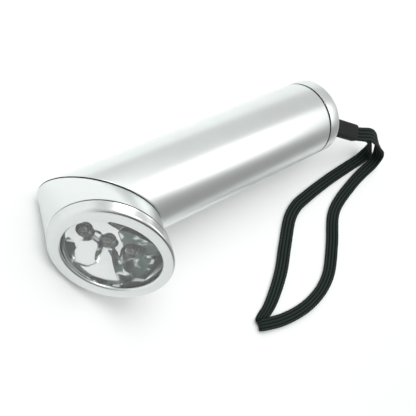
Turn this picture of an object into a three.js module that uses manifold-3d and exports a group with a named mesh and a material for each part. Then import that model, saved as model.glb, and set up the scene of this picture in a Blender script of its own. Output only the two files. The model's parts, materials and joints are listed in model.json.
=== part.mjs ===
// A hand crank flashlight: a round tube cut at 45 degrees carries a swivelling head with a reflector
// and three LEDs. Held by the head, the tube is swung round as the crank of a small generator.
// Millimetres, +Z up, lying on a floor at z = 0.
import * as THREE from "three";
import { mergeVertices } from "three/addons/utils/BufferGeometryUtils.js";
import Module from "manifold-3d";

const wasm = await Module();
wasm.setup();

// Tube
const tubeRadius = 15;
const tubeWall = 1.5;
const mitreAngle = Math.PI / 4;
const seamGap = 0.5;
const clearance = 0.3;
const overrun = 1;

// Head: the face plane's middle, counted from the middle of the cut, and the ovals along the head
const faceAlong = -7.5;
const faceAcross = -16.4;
const faceAngle = 0.92;
const faceHalfLength = 20.9;
const faceHalfWidth = 23.8;
const bezelHalfLength = 20.6;
const bezelHalfWidth = 24.2;
const bezelHeight = 3.4;
const bezelRound = 1.1;
const headWall = 1.8;

// Window, lens and gasket
const windowHalfLength = 16.8;
const windowHalfWidth = 18.1;
const windowChamfer = 0.4;
const lipThickness = 0.9;
const lensLap = 1.2;
const lensThickness = 1.5;
const gasketThickness = 0.4;
const gasketWidth = 1;

// Reflector and LEDs
const reflectorHeight = 4.6;
const reflectorRimLength = 2.5;
const reflectorRimWidth = 4.1;
const reflectorFootHalfLength = 15.5;
const reflectorFootHalfWidth = 15;
const mirrorOffset = -0.6;
const mirrorFloorHalfLength = 11.6;
const mirrorFloorHalfWidth = 3.6;
const mirrorFloorDepth = 3.2;
const cupRadius = 4.6;
const cupNeckRadius = 2.8;
const ledRadius = 2.5;
const ledFlangeRadius = 2.9;
const ledFlangeHeight = 0.8;
const ledBodyHeight = 2.5;
const ledPitch = 8.4;
const ledRowOffset = -2.3;
const ledBoardHalfLength = 13;
const ledBoardHalfWidth = 11;
const ledBoardThickness = 1.2;

// Swivel: plates parallel to the cut, with the shaft square to it
const swivelPlateThickness = 1.8;
const bearingPlateThickness = 2;
const shaftRadius = 3;
const shaftBore = 1.5;
const shaftFlangeRadius = 5;
const shaftFlangeHeight = 0.9;
const bushWall = 1.3;
const washerRadius = 8;
const washerThickness = 0.3;
const clipThickness = 0.7;
const clipRadius = 4.9;

// Gear train
const moduleShare = 0.037037;
const pressureAngle = 0.436;
const driveTeeth = 40;
const wheelTeeth = 30;
const pinionTeeth = 12;
const gearWidthShare = 4;
const gearBacklash = 0.08;
const addendumShare = 0.85;
const dedendumShare = 1.15;
const axleRadius = 1;
const hubRadius = 2.2;
const lighteningShare = 0.1111;
const lighteningCircleShare = 0.5037;
const lighteningCount = 5;
const plateThickness = 1;
const postRadius = 1.2;
const postAlongShare = 0.5926;
const postAcrossShare = 0.8296;

// Generator
const statorShare = 0.7037;
const statorWall = 0.8;
const statorHeightShare = 0.6947;
const coilThickness = 2;
const airGap = 1;
const magnetInset = 1;

// Tail
const capLength = 6.4;
const capRound = 1.3;
const capWall = 2;
const spigotLength = 8;
const spigotWall = 2;
const sealSection = 0.8;
const sealPlace = 3;
const buttonShare = 0.32;
const buttonProud = 1;
const buttonFlange = 1.3;
const buttonFlangeHeight = 1.2;
const buttonTravel = 1.2;
const stemRadius = 2;
const stemLength = 3;
const switchRadius = 6;
const switchHeight = 5;
const switchBoardThickness = 1.4;
const studRadius = 1.3;
const studFlangeRadius = 2.1;
const studFlangeHeight = 0.8;
const studShare = 0.6267;
const studTurn = 0.48;
const studGrip = 3;

// Cells
const cellRoom = 1.65;
const cellGap = 0.93;
const cellLength = 44.5;
const cellNubRadius = 1.9;
const cellNubHeight = 0.8;
const cellCount = 3;
const holderDiscThickness = 1.6;
const holderRoom = 0.7;
const holderGap = 1.4;
const spineRadius = 1;
const springWire = 0.6;
const springRadius = 4.5;
const springLength = 7.85;
const springTurns = 4;
const wireSides = 5;
const boardThickness = 1.6;
const boardGap = 3;
const capacitorRadius = 3;
const capacitorLength = 6;

// Sizes that follow the tube: its gears, generator and cells, and the button and stud in its end
const tubeBore = tubeRadius - tubeWall;
const gearModule = tubeBore * moduleShare;
const gearWidth = gearModule * gearWidthShare;
const lighteningRadius = tubeBore * lighteningShare;
const lighteningCircle = tubeBore * lighteningCircleShare;
const statorRadius = tubeBore * statorShare;
const statorHeight = statorRadius * statorHeightShare;
const magnetHeight = statorHeight - 2 * magnetInset;
const magnetRadius = statorRadius - statorWall - clearance - coilThickness - airGap;
const cellSpread = 2 * Math.sin(Math.PI / cellCount);
const cellRadius = (tubeBore - cellRoom - cellGap / cellSpread) / (1 + 2 / cellSpread);
const cellCircle = tubeBore - cellRoom - cellRadius;
const holderDiscRadius = tubeBore - holderRoom;
const postAlong = tubeBore * postAlongShare;
const postAcross = tubeBore * postAcrossShare;
const buttonRadius = tubeRadius * buttonShare;
const studOffset = tubeRadius * studShare;
const capCavityRadius = studOffset + studFlangeRadius + clearance;

// Wrist strap
const strapWidth = 5.6;
const strapThickness = 1.2;
const strapEdge = 0.5;
const strapLayerGap = 0.3;
const strapStepsPerPoint = 3;
const sleeveLength = 17.6;
const sleeveYaw = -0.468;
const sleeveWidth = 7;
const sleeveThickness = 4.2;
const sleeveRound = 0.8;
const sleeveMouth = 3;

// Faces round each form
const roundSegments = 64;
const capSegments = 48;
const turnedSegments = 36;
const mediumSegments = 24;
const smallSegments = 16;

// Colours and finishes
const finishes = {
  silver: { color: 0xc9cdce, roughness: 0.3, metalness: 0.9 },
  steel: { color: 0x9a9da0, roughness: 0.35, metalness: 1 },
  brass: { color: 0xc7a252, roughness: 0.35, metalness: 1 },
  chrome: { color: 0xd8dcdc, roughness: 0.08, metalness: 1 },
  clear: { color: 0xf4f8f8, roughness: 0.03, metalness: 0, transparent: true, opacity: 0.3 },
  led: { color: 0xe8ecd8, roughness: 0.1, metalness: 0 },
  rubber: { color: 0x1c1f1e, roughness: 0.8, metalness: 0 },
  braid: { color: 0x232b29, roughness: 0.9, metalness: 0 },
  nylon: { color: 0xe6e3d6, roughness: 0.5, metalness: 0 },
  board: { color: 0x1f5a38, roughness: 0.5, metalness: 0 },
  copper: { color: 0xb8703a, roughness: 0.35, metalness: 1 },
  magnet: { color: 0x3a3b3d, roughness: 0.5, metalness: 0.6 },
  cell: { color: 0x5f8f5a, roughness: 0.4, metalness: 0.1 },
};

function piece(name, geometry, finish) {
  const mesh = new THREE.Mesh(geometry, new THREE.MeshStandardMaterial(finishes[finish]));
  mesh.name = name;
  return mesh;
}

// Solids for cutting and joining
function bare(geometry) {
  const copy = geometry.clone();
  copy.deleteAttribute("normal");
  copy.deleteAttribute("uv");
  return mergeVertices(copy, 1e-4);
}

function solid(geometry) {
  const merged = bare(geometry);
  return new wasm.Manifold(
    new wasm.Mesh({
      numProp: 3,
      vertProperties: merged.attributes.position.array,
      triVerts: new Uint32Array(merged.index.array),
    }),
  );
}

function geometryOf(made) {
  const mesh = made.getMesh();
  const geometry = new THREE.BufferGeometry();
  geometry.setAttribute("position", new THREE.BufferAttribute(mesh.vertProperties, 3));
  geometry.setIndex(new THREE.BufferAttribute(mesh.triVerts, 1));
  geometry.computeVertexNormals();
  return geometry;
}

function join(...parts) {
  return geometryOf(parts.map(solid).reduce((all, next) => all.add(next)));
}

function cut(body, ...tools) {
  return geometryOf(tools.map(solid).reduce((left, tool) => left.subtract(tool), solid(body)));
}

// A skin through rings of equal count, each ring counterclockwise about the way the rings go.
// A closed chain comes back to its first ring, and an open one is capped at both ends.
function loft(rings, closed) {
  const count = rings[0].length;
  const positions = rings.flat().flatMap((p) => [p.x, p.y, p.z]);
  const faces = [];
  const last = closed ? rings.length : rings.length - 1;
  for (let r = 0; r < last; r++) {
    const a = r * count;
    const b = ((r + 1) % rings.length) * count;
    for (let i = 0; i < count; i++) {
      const j = (i + 1) % count;
      faces.push(a + i, a + j, b + j, a + i, b + j, b + i);
    }
  }
  if (!closed) {
    const top = (rings.length - 1) * count;
    for (let i = 1; i < count - 1; i++) {
      faces.push(0, i + 1, i);
      faces.push(top, top + i, top + i + 1);
    }
  }
  const geometry = new THREE.BufferGeometry();
  geometry.setAttribute("position", new THREE.Float32BufferAttribute(positions, 3));
  geometry.setIndex(faces);
  geometry.computeVertexNormals();
  return geometry;
}

// An oval at one height: its middle's offset along x, its two half axes
function oval(height, offset, halfLength, halfWidth, count = roundSegments) {
  return Array.from({ length: count }, (_, i) => {
    const angle = (2 * Math.PI * i) / count;
    return new THREE.Vector3(
      offset + halfLength * Math.cos(angle),
      halfWidth * Math.sin(angle),
      height,
    );
  });
}

// A turned form about z from its half section, listed as [radius, height] upwards along the outside
function turned(profile, segments = turnedSegments) {
  const points = profile.map(([radius, height]) => new THREE.Vector2(radius, height));
  return new THREE.LatheGeometry(points, segments).rotateX(Math.PI / 2);
}

function ring(inner, outer, low, high, segments = turnedSegments) {
  return turned([[inner, low], [outer, low], [outer, high], [inner, high], [inner, low]], segments);
}

function rod(radius, low, high, segments = smallSegments) {
  return turned([[0, low], [radius, low], [radius, high], [0, high]], segments);
}

// Frames: x along the oval, y across it, z out of the plane
function frameAt(origin, angle) {
  const group = new THREE.Group();
  const along = new THREE.Vector3(Math.cos(angle), -Math.sin(angle), 0);
  const across = new THREE.Vector3(0, 0, 1);
  const out = new THREE.Vector3().crossVectors(along, across);
  group.quaternion.setFromRotationMatrix(new THREE.Matrix4().makeBasis(along, across, out));
  group.position.copy(origin);
  group.updateMatrix();
  return group;
}

const faceMiddle = new THREE.Vector3(faceAlong, faceAcross, 0);
const headFrame = frameAt(faceMiddle, faceAngle);
const seamFrame = frameAt(new THREE.Vector3(), mitreAngle);
const seamStretch = 1 / Math.sin(mitreAngle);

// How far the head's middle line moves along its ovals for each unit of depth
const seamMiddleInHead = new THREE.Vector3().applyMatrix4(headFrame.matrix.clone().invert());
const headDepth = -seamMiddleInHead.z;
const headSlant = -seamMiddleInHead.x / headDepth;
const headMiddle = (height) => headSlant * height;

const inTorch = (frame, points) => points.map((p) => p.clone().applyMatrix4(frame.matrix));

// Head
function shellRim(inset) {
  const height = -bezelHeight - clearance / 2;
  const points = oval(height, headMiddle(height), bezelHalfLength - inset, bezelHalfWidth - inset);
  return inTorch(headFrame, points);
}

function shellFoot(inset) {
  const halfLength = tubeRadius * seamStretch - inset;
  return inTorch(seamFrame, oval(seamGap / 2, 0, halfLength, tubeRadius - inset));
}

function headShell() {
  return loft([shellFoot(0), shellRim(0), shellRim(headWall), shellFoot(headWall)], true);
}

function bezelOuterRings() {
  const low = -bezelHeight + clearance / 2;
  const rings = [oval(low, headMiddle(low), bezelHalfLength, bezelHalfWidth)];
  const steps = 3;
  for (let i = 0; i <= steps; i++) {
    const angle = (Math.PI / 2) * (i / steps);
    const inset = bezelRound * (1 - Math.cos(angle));
    const height = -bezelRound + bezelRound * Math.sin(angle);
    rings.push(oval(height, headMiddle(height), faceHalfLength - inset, faceHalfWidth - inset));
  }
  return rings;
}

const seatHalfLength = windowHalfLength + lensLap + clearance;
const seatHalfWidth = windowHalfWidth + lensLap + clearance;

function bezelRing() {
  return loft(
    [
      ...bezelOuterRings(),
      oval(0, 0, windowHalfLength + windowChamfer, windowHalfWidth + windowChamfer),
      oval(-windowChamfer, 0, windowHalfLength, windowHalfWidth),
      oval(-lipThickness, 0, windowHalfLength, windowHalfWidth),
      oval(-lipThickness, 0, seatHalfLength, seatHalfWidth),
      oval(-bezelHeight + clearance / 2, 0, seatHalfLength, seatHalfWidth),
    ],
    true,
  );
}

const lensTop = -lipThickness - clearance;
const lensLow = lensTop - lensThickness;
const gasketTop = lensLow - clearance;
const gasketLow = gasketTop - gasketThickness;
const reflectorTop = gasketLow - clearance;
const reflectorLow = reflectorTop - reflectorHeight;

function lensPlate() {
  const halfLength = seatHalfLength - clearance;
  const halfWidth = seatHalfWidth - clearance;
  return loft([oval(lensLow, 0, halfLength, halfWidth), oval(lensTop, 0, halfLength, halfWidth)], false);
}

function gasketRing() {
  const outerLength = seatHalfLength - clearance;
  const outerWidth = seatHalfWidth - clearance;
  const innerLength = outerLength - gasketWidth;
  const innerWidth = outerWidth - gasketWidth;
  return loft(
    [
      oval(gasketLow, 0, outerLength, outerWidth, turnedSegments),
      oval(gasketTop, 0, outerLength, outerWidth, turnedSegments),
      oval(gasketTop, 0, innerLength, innerWidth, turnedSegments),
      oval(gasketLow, 0, innerLength, innerWidth, turnedSegments),
    ],
    true,
  );
}

const ledPlaces = [-1, 0, 1].map((step) => ledRowOffset + step * ledPitch);

// The reflector fills the head's shell, and its mirror leaves a rim all round
const reflectorHalfLength = bezelHalfLength - headWall - clearance;
const reflectorHalfWidth = bezelHalfWidth - headWall - clearance;
const mirrorHalfLength = reflectorHalfLength - reflectorRimLength;
const mirrorHalfWidth = reflectorHalfWidth - reflectorRimWidth;

// One cup: a paraboloid from its neck at the foot to its mouth
function cup(along) {
  const depth = reflectorHeight - mirrorFloorDepth;
  const steps = 5;
  const profile = [[0, reflectorLow - overrun], [cupNeckRadius, reflectorLow - overrun]];
  for (let i = 0; i <= steps; i++) {
    const share = i / steps;
    const squares = THREE.MathUtils.lerp(cupNeckRadius ** 2, cupRadius ** 2, share);
    profile.push([Math.sqrt(squares), reflectorLow + (depth + overrun) * share]);
  }
  profile.push([0, reflectorLow + depth + overrun]);
  return turned(profile, smallSegments).translate(along, 0, 0);
}

// Corner directions of the faceted funnel round the row of cups, in shares of a turn
const facetShares = [0.035, 0.13, 0.2, 0.3, 0.37, 0.465, 0.535, 0.63, 0.7, 0.8, 0.87, 0.965];
const funnelMouthShare = 1.25;

function funnel() {
  const corners = (height, offset, halfLength, halfWidth) =>
    facetShares.map((share) => {
      const angle = 2 * Math.PI * share;
      return new THREE.Vector3(
        offset + halfLength * Math.cos(angle),
        halfWidth * Math.sin(angle),
        height,
      );
    });
  const foot = corners(
    reflectorTop - mirrorFloorDepth,
    ledRowOffset,
    mirrorFloorHalfLength,
    mirrorFloorHalfWidth,
  );
  const mouth = corners(
    reflectorTop,
    mirrorOffset,
    mirrorHalfLength * funnelMouthShare,
    mirrorHalfWidth * funnelMouthShare,
  );
  const above = corners(
    reflectorTop + overrun,
    mirrorOffset,
    mirrorHalfLength * funnelMouthShare,
    mirrorHalfWidth * funnelMouthShare,
  );
  return loft([foot, mouth, above], false);
}

function reflectorMoulding() {
  const block = loft(
    [
      oval(
        reflectorLow,
        headMiddle(reflectorLow),
        reflectorFootHalfLength,
        reflectorFootHalfWidth,
      ),
      oval(reflectorTop, headMiddle(reflectorTop), reflectorHalfLength, reflectorHalfWidth),
    ],
    false,
  );
  const rim = loft(
    [
      oval(reflectorLow - overrun, mirrorOffset, mirrorHalfLength, mirrorHalfWidth),
      oval(reflectorTop + 2 * overrun, mirrorOffset, mirrorHalfLength, mirrorHalfWidth),
    ],
    false,
  );
  const hollow = solid(funnel()).intersect(solid(rim));
  const cups = ledPlaces.map(cup).map(solid);
  return geometryOf(cups.reduce((left, next) => left.subtract(next), solid(block).subtract(hollow)));
}

const ledFlangeTop = reflectorLow - clearance;
const ledFlangeLow = ledFlangeTop - ledFlangeHeight;

// A lamp with its flange, its barrel and its dome
function ledLamp() {
  const domeLow = ledFlangeTop + ledBodyHeight;
  const profile = [
    [0, ledFlangeLow],
    [ledFlangeRadius, ledFlangeLow],
    [ledFlangeRadius, ledFlangeTop],
    [ledRadius, ledFlangeTop],
  ];
  const steps = 4;
  for (let i = 0; i < steps; i++) {
    const angle = (Math.PI / 2) * (i / steps);
    profile.push([ledRadius * Math.cos(angle), domeLow + ledRadius * Math.sin(angle)]);
  }
  profile.push([0, domeLow + ledRadius]);
  return turned(profile, smallSegments);
}

function ledBoard() {
  const top = ledFlangeLow - clearance;
  const low = top - ledBoardThickness;
  return loft(
    [
      oval(low, ledRowOffset, ledBoardHalfLength, ledBoardHalfWidth, turnedSegments),
      oval(top, ledRowOffset, ledBoardHalfLength, ledBoardHalfWidth, turnedSegments),
    ],
    false,
  );
}

// Gear sizes and the places of the axles, counted from the swivel's axis
const pitchRadius = (teeth) => (gearModule * teeth) / 2;
const firstAxleAlong = pitchRadius(driveTeeth) + pitchRadius(pinionTeeth);
const secondAxleAlong = firstAxleAlong - pitchRadius(wheelTeeth) - pitchRadius(pinionTeeth);

// Swivel, in the frame of the cut: z out of the tube, so heights in the tube are negative
const faceInSeam = faceMiddle.clone().applyMatrix4(seamFrame.matrix.clone().invert());
const seamSlant = faceInSeam.x / faceInSeam.z;

const swivelPlateLow = 0;
const swivelPlateTop = swivelPlateLow + swivelPlateThickness;
const bearingPlateTop = -washerThickness - 2 * clearance;
const bearingPlateLow = bearingPlateTop - bearingPlateThickness;
const driveGearTop = bearingPlateLow - bushWall - 2 * clearance;
const driveGearLow = driveGearTop - gearWidth;
const clipTop = driveGearLow - clearance;
const clipLow = clipTop - clipThickness;
const shaftLow = clipLow - clearance;
const firstWheelTop = shaftLow - clearance;
const firstWheelLow = firstWheelTop - gearWidth;
const secondWheelTop = firstWheelLow - clearance;
const secondWheelLow = secondWheelTop - gearWidth;
const gearPlateTop = secondWheelLow - clearance;

function swivelPlate() {
  const wall = headWall + clearance;
  const shift = seamSlant * swivelPlateTop;
  const plate = loft(
    [swivelPlateLow, swivelPlateTop].map((height) =>
      oval(height, shift / 2, tubeRadius * seamStretch - wall - shift, tubeRadius - wall, turnedSegments),
    ),
    false,
  );
  return cut(plate, drill(shaftRadius + clearance, 0, swivelPlateLow, swivelPlateTop));
}

// The shaft stands on its flange above the plate and carries the drive gear at its foot
function swivelShaft() {
  const top = swivelPlateTop + clearance;
  return turned(
    [
      [shaftBore, shaftLow],
      [shaftRadius, shaftLow],
      [shaftRadius, top],
      [shaftFlangeRadius, top],
      [shaftFlangeRadius, top + shaftFlangeHeight],
      [shaftBore, top + shaftFlangeHeight],
      [shaftBore, shaftLow],
    ],
    smallSegments,
  );
}

// A plate across the tube, parallel to the cut, so its edge slants with the tube's wall
function slantedPlate(low, high) {
  const radius = tubeBore - clearance;
  const halfLength = radius * seamStretch;
  const edge = (height) =>
    oval(height, -height / Math.tan(mitreAngle), halfLength, radius, turnedSegments);
  return loft([edge(low), edge(high)], false);
}

// A round hole through a plate that lies between two heights
function drill(radius, along, low, high) {
  return rod(radius, low - overrun, high + overrun).translate(along, 0, 0);
}

function bearingPlate() {
  const bushHole = shaftRadius + bushWall + 2 * clearance;
  return cut(
    slantedPlate(bearingPlateLow, bearingPlateTop),
    drill(bushHole, 0, bearingPlateLow, bearingPlateTop),
    drill(axleRadius + clearance, firstAxleAlong, bearingPlateLow, bearingPlateTop),
  );
}

function swivelBush() {
  const inner = shaftRadius + clearance;
  const outer = inner + bushWall;
  const shoulder = outer + bushWall;
  const foot = bearingPlateLow - clearance - bushWall;
  return turned(
    [
      [inner, foot],
      [shoulder, foot],
      [shoulder, bearingPlateLow - clearance],
      [outer, bearingPlateLow - clearance],
      [outer, bearingPlateTop],
      [inner, bearingPlateTop],
      [inner, foot],
    ],
    smallSegments,
  );
}

// A split ring that holds the shaft in the plates
function retainingClip() {
  const shape = new THREE.Shape();
  const opening = 0.5;
  shape.absarc(0, 0, clipRadius, opening, 2 * Math.PI - opening, false);
  shape.absarc(0, 0, shaftRadius + clearance, 2 * Math.PI - opening, opening, true);
  shape.closePath();
  const geometry = new THREE.ExtrudeGeometry(shape, {
    depth: clipThickness,
    bevelEnabled: false,
    curveSegments: smallSegments,
  });
  return geometry.translate(0, 0, clipLow);
}

// One flank point of an involute tooth: the angle swept from the base circle at a radius
function involuteSweep(radius, base) {
  const roll = Math.sqrt(Math.max((radius / base) ** 2 - 1, 0));
  return roll - Math.atan(roll);
}

// The outline of a spur gear with a tooth's middle at a phase
function gearOutline(teeth, phase) {
  const pitch = pitchRadius(teeth);
  const base = pitch * Math.cos(pressureAngle);
  const tip = pitch + gearModule * addendumShare;
  const root = pitch - gearModule * dedendumShare;
  const start = Math.max(base, root);
  const thinning = gearBacklash / (2 * pitch);
  const halfTooth = Math.PI / 2 / teeth - thinning + involuteSweep(pitch, base);
  const radii = base > root ? [start, (start + tip) / 2, tip] : [start, tip];
  const flank = radii.map((radius) => [radius, halfTooth - involuteSweep(radius, base)]);
  if (base > root) flank.unshift([root, flank[0][1]]);
  const points = [];
  for (let tooth = 0; tooth < teeth; tooth++) {
    const middle = phase + (2 * Math.PI * tooth) / teeth;
    const rising = flank.map(([radius, half]) => [radius, middle - half]);
    const falling = flank.map(([radius, half]) => [radius, middle + half]).reverse();
    for (const [radius, angle] of [...rising, ...falling]) {
      points.push(new THREE.Vector2(radius * Math.cos(angle), radius * Math.sin(angle)));
    }
  }
  return new THREE.Shape(points);
}

function spurGear(teeth, phase, low) {
  const options = { depth: gearWidth, bevelEnabled: false };
  return new THREE.ExtrudeGeometry(gearOutline(teeth, phase), options).translate(0, 0, low);
}

// A wheel and a pinion on one hub. Every pinion is turned by half a tooth, so that it meshes.
const pinionPhase = Math.PI / pinionTeeth;

function compoundGear(pinionLow, wheelLow) {
  const hub = rod(hubRadius, wheelLow + clearance, pinionLow + gearWidth - clearance);
  const blank = join(spurGear(pinionTeeth, pinionPhase, pinionLow), hub, spurGear(wheelTeeth, 0, wheelLow));
  return cut(blank, drill(axleRadius + clearance, 0, wheelLow, pinionLow + gearWidth));
}

function driveGear() {
  const bore = drill(shaftRadius + clearance, 0, driveGearLow, driveGearTop);
  const holes = Array.from({ length: lighteningCount }, (_, step) =>
    drill(lighteningRadius, lighteningCircle, driveGearLow, driveGearTop).rotateZ(
      (2 * Math.PI * step) / lighteningCount,
    ),
  );
  return cut(spurGear(driveTeeth, 0, driveGearLow), bore, ...holes);
}

// Axles, plate and posts of the gear train
const gearPlateLow = gearPlateTop - plateThickness;

function thrustWasher() {
  const inner = shaftRadius + clearance + bushWall + clearance;
  const low = bearingPlateTop + clearance;
  return ring(inner, washerRadius, low, low + washerThickness, mediumSegments);
}

function platePost() {
  return rod(postRadius, gearPlateTop + clearance, bearingPlateLow - clearance);
}

function gearPlate() {
  return cut(
    slantedPlate(gearPlateLow, gearPlateTop),
    drill(axleRadius + clearance, secondAxleAlong, gearPlateLow, gearPlateTop),
    drill(axleRadius + clearance, firstAxleAlong, gearPlateLow, gearPlateTop),
  );
}

const firstAxle = () => rod(axleRadius, firstWheelLow - clearance / 2, bearingPlateTop);
const secondAxle = () => rod(axleRadius, gearPlateLow, firstWheelTop);

// Generator
const statorTop = gearPlateLow - clearance;
const statorLow = statorTop - statorHeight;
const statorFloor = statorLow + statorWall;

function statorCup() {
  const bearing = axleRadius + clearance;
  return turned([
    [bearing, statorLow],
    [statorRadius, statorLow],
    [statorRadius, statorTop],
    [statorRadius - statorWall, statorTop],
    [statorRadius - statorWall, statorFloor],
    [bearing, statorFloor],
    [bearing, statorLow],
  ], mediumSegments);
}

function statorCoil() {
  const outer = statorRadius - statorWall - clearance;
  return ring(outer - coilThickness, outer, statorFloor + clearance, statorTop - clearance, mediumSegments);
}

function rotorShaft() {
  const shaft = rod(axleRadius, statorLow, secondWheelLow + clearance);
  return join(spurGear(pinionTeeth, pinionPhase, secondWheelLow), shaft);
}

function rotorMagnet() {
  const middle = (statorFloor + statorTop) / 2;
  const half = magnetHeight / 2;
  return ring(axleRadius + clearance, magnetRadius, middle - half, middle + half, smallSegments);
}

// Pieces on the tube's axis, with z along it
function bodyTube() {
  const near = (radius) =>
    oval(0, 0, radius, radius).map((p) => {
      p.z = (seamGap / 2 - p.y * Math.cos(mitreAngle)) / Math.sin(mitreAngle);
      return p;
    });
  const far = (radius) => oval(tubeLength, 0, radius, radius);
  return loft([near(tubeRadius), far(tubeRadius), far(tubeBore), near(tubeBore)], true);
}

// Places along the axis, counted back from the cut: each piece starts where the last one ends
const plateReach = tubeBore / Math.sin(mitreAngle) - gearPlateLow / Math.tan(mitreAngle);
const statorReach = firstAxleAlong + statorRadius;
const mechanismEnd = Math.max(
  plateReach * Math.cos(mitreAngle) - gearPlateLow * Math.sin(mitreAngle),
  statorReach * Math.cos(mitreAngle) - statorLow * Math.sin(mitreAngle),
);
const boardPlace = mechanismEnd + boardGap;
const holderPlace = boardPlace + boardThickness + capacitorLength + holderGap;
const frontDiscTop = holderPlace + holderDiscThickness;
const cellLow = frontDiscTop + clearance;
const rearDiscLow = cellLow + cellLength + clearance;
const rearDiscTop = rearDiscLow + holderDiscThickness;
const switchBoardLow = rearDiscTop + 2 * clearance + springLength;
const switchBoardTop = switchBoardLow + switchBoardThickness;
const switchLow = switchBoardTop + clearance;
const switchTop = switchLow + switchHeight;
const buttonFlangeLow = switchTop + clearance + buttonTravel;
const buttonFlangeTop = buttonFlangeLow + buttonFlangeHeight;
const stemLow = buttonFlangeLow - stemLength;
const capInside = buttonFlangeTop + clearance;
const capEnd = capInside + capWall;
const capShoulder = capEnd - capLength;
const tubeLength = capShoulder - clearance;
const spigotOuter = tubeBore - clearance;
const spigotInner = spigotOuter - spigotWall;
const spigotLow = capShoulder - spigotLength;

// Where the strap's stud stands on the cap's end, in the torch's y and z
const studAcross = -studOffset * Math.cos(studTurn);
const studUp = studOffset * Math.sin(studTurn);

function rectifierBoard() {
  const top = boardPlace + boardThickness;
  const disc = rod(tubeBore - clearance, boardPlace, top, turnedSegments);
  const capacitor = rod(capacitorRadius, boardPlace + boardThickness / 2, top + capacitorLength);
  return join(disc, capacitor.translate(0, cellCircle, 0));
}

function cellHolder() {
  const disc = (low) => rod(holderDiscRadius, low, low + holderDiscThickness, turnedSegments);
  return join(
    disc(holderPlace),
    disc(rearDiscLow),
    rod(spineRadius, holderPlace + holderDiscThickness / 2, rearDiscLow + holderDiscThickness / 2),
  );
}

function cell() {
  const shoulder = cellLow + cellLength - cellNubHeight;
  return turned(
    [
      [0, cellLow],
      [cellRadius, cellLow],
      [cellRadius, shoulder],
      [cellNubRadius, shoulder],
      [cellNubRadius, cellLow + cellLength],
      [0, cellLow + cellLength],
    ],
    smallSegments,
  );
}

function tailCap() {
  const grooveHigh = capShoulder - sealPlace;
  const grooveLow = grooveHigh - sealSection - 2 * clearance;
  const grooveRadius = spigotOuter - sealSection - clearance;
  const steps = 3;
  const rounding = Array.from({ length: steps + 1 }, (_, step) => {
    const angle = (Math.PI / 2) * (step / steps);
    return [
      tubeRadius - capRound * (1 - Math.cos(angle)),
      capEnd - capRound * (1 - Math.sin(angle)),
    ];
  });
  const buttonHole = buttonRadius + clearance;
  const body = turned(
    [
      [spigotInner, spigotLow],
      [spigotOuter, spigotLow],
      [spigotOuter, grooveLow],
      [grooveRadius, grooveLow],
      [grooveRadius, grooveHigh],
      [spigotOuter, grooveHigh],
      [spigotOuter, capShoulder],
      [tubeRadius, capShoulder],
      ...rounding,
      [buttonHole, capEnd],
      [buttonHole, capInside],
      [capCavityRadius, capInside],
      [capCavityRadius, capShoulder],
      [spigotInner, capShoulder],
      [spigotInner, spigotLow],
    ],
    capSegments,
  );
  const studHole = rod(studRadius + clearance, capInside - overrun, capEnd + overrun);
  return cut(body, studHole.translate(-studUp, studAcross, 0));
}

function tailSeal() {
  const middle = capShoulder - sealPlace - clearance - sealSection / 2;
  const section = sealSection / 2;
  return new THREE.TorusGeometry(spigotOuter - section, section, 5, turnedSegments).translate(0, 0, middle);
}

function switchButton() {
  const top = capEnd + buttonProud;
  const edge = clearance;
  return turned([
    [0, stemLow],
    [stemRadius, stemLow],
    [stemRadius, buttonFlangeLow],
    [buttonRadius + buttonFlange, buttonFlangeLow],
    [buttonRadius + buttonFlange, buttonFlangeTop],
    [buttonRadius, buttonFlangeTop],
    [buttonRadius, top - edge],
    [buttonRadius - edge, top],
    [0, top],
  ], mediumSegments);
}

function switchBoard() {
  return rod(spigotInner - clearance, switchBoardLow, switchBoardTop, turnedSegments);
}

function switchModule() {
  const bore = stemRadius + clearance;
  const boreLow = stemLow - buttonTravel - clearance;
  return turned(
    [
      [0, switchLow],
      [switchRadius, switchLow],
      [switchRadius, switchTop],
      [bore, switchTop],
      [bore, boreLow],
      [0, boreLow],
    ],
    smallSegments,
  );
}

// A round wire wound as a helix about z
function contactSpring() {
  const low = rearDiscTop + clearance + springWire / 2;
  const high = switchBoardLow - clearance - springWire / 2;
  const steps = springTurns * 10;
  const rise = (high - low) / (2 * Math.PI * springTurns);
  const rings = Array.from({ length: steps + 1 }, (_, i) => {
    const angle = 2 * Math.PI * springTurns * (i / steps);
    const out = new THREE.Vector3(Math.cos(angle), Math.sin(angle), 0);
    const onward = new THREE.Vector3(-springRadius * out.y, springRadius * out.x, rise).normalize();
    const side = new THREE.Vector3().crossVectors(onward, out);
    const middle = out.clone().multiplyScalar(springRadius).setZ(low + rise * angle);
    return Array.from({ length: wireSides }, (_, k) => {
      const turn = (2 * Math.PI * k) / wireSides;
      return middle
        .clone()
        .addScaledVector(out, (springWire / 2) * Math.cos(turn))
        .addScaledVector(side, (springWire / 2) * Math.sin(turn));
    });
  });
  return loft(rings, false);
}

function strapStud() {
  const flangeTop = capInside - clearance;
  const flangeLow = flangeTop - studFlangeHeight;
  return turned(
    [
      [0, flangeLow],
      [studFlangeRadius, flangeLow],
      [studFlangeRadius, flangeTop],
      [studRadius, flangeTop],
      [studRadius, capEnd + clearance + studGrip],
      [0, capEnd + clearance + studGrip],
    ],
    smallSegments,
  );
}

// Strap sleeve, in level axes with x along the tube and its zero on the cap's end face
const strapStack = 2 * strapThickness + strapLayerGap;

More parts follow.
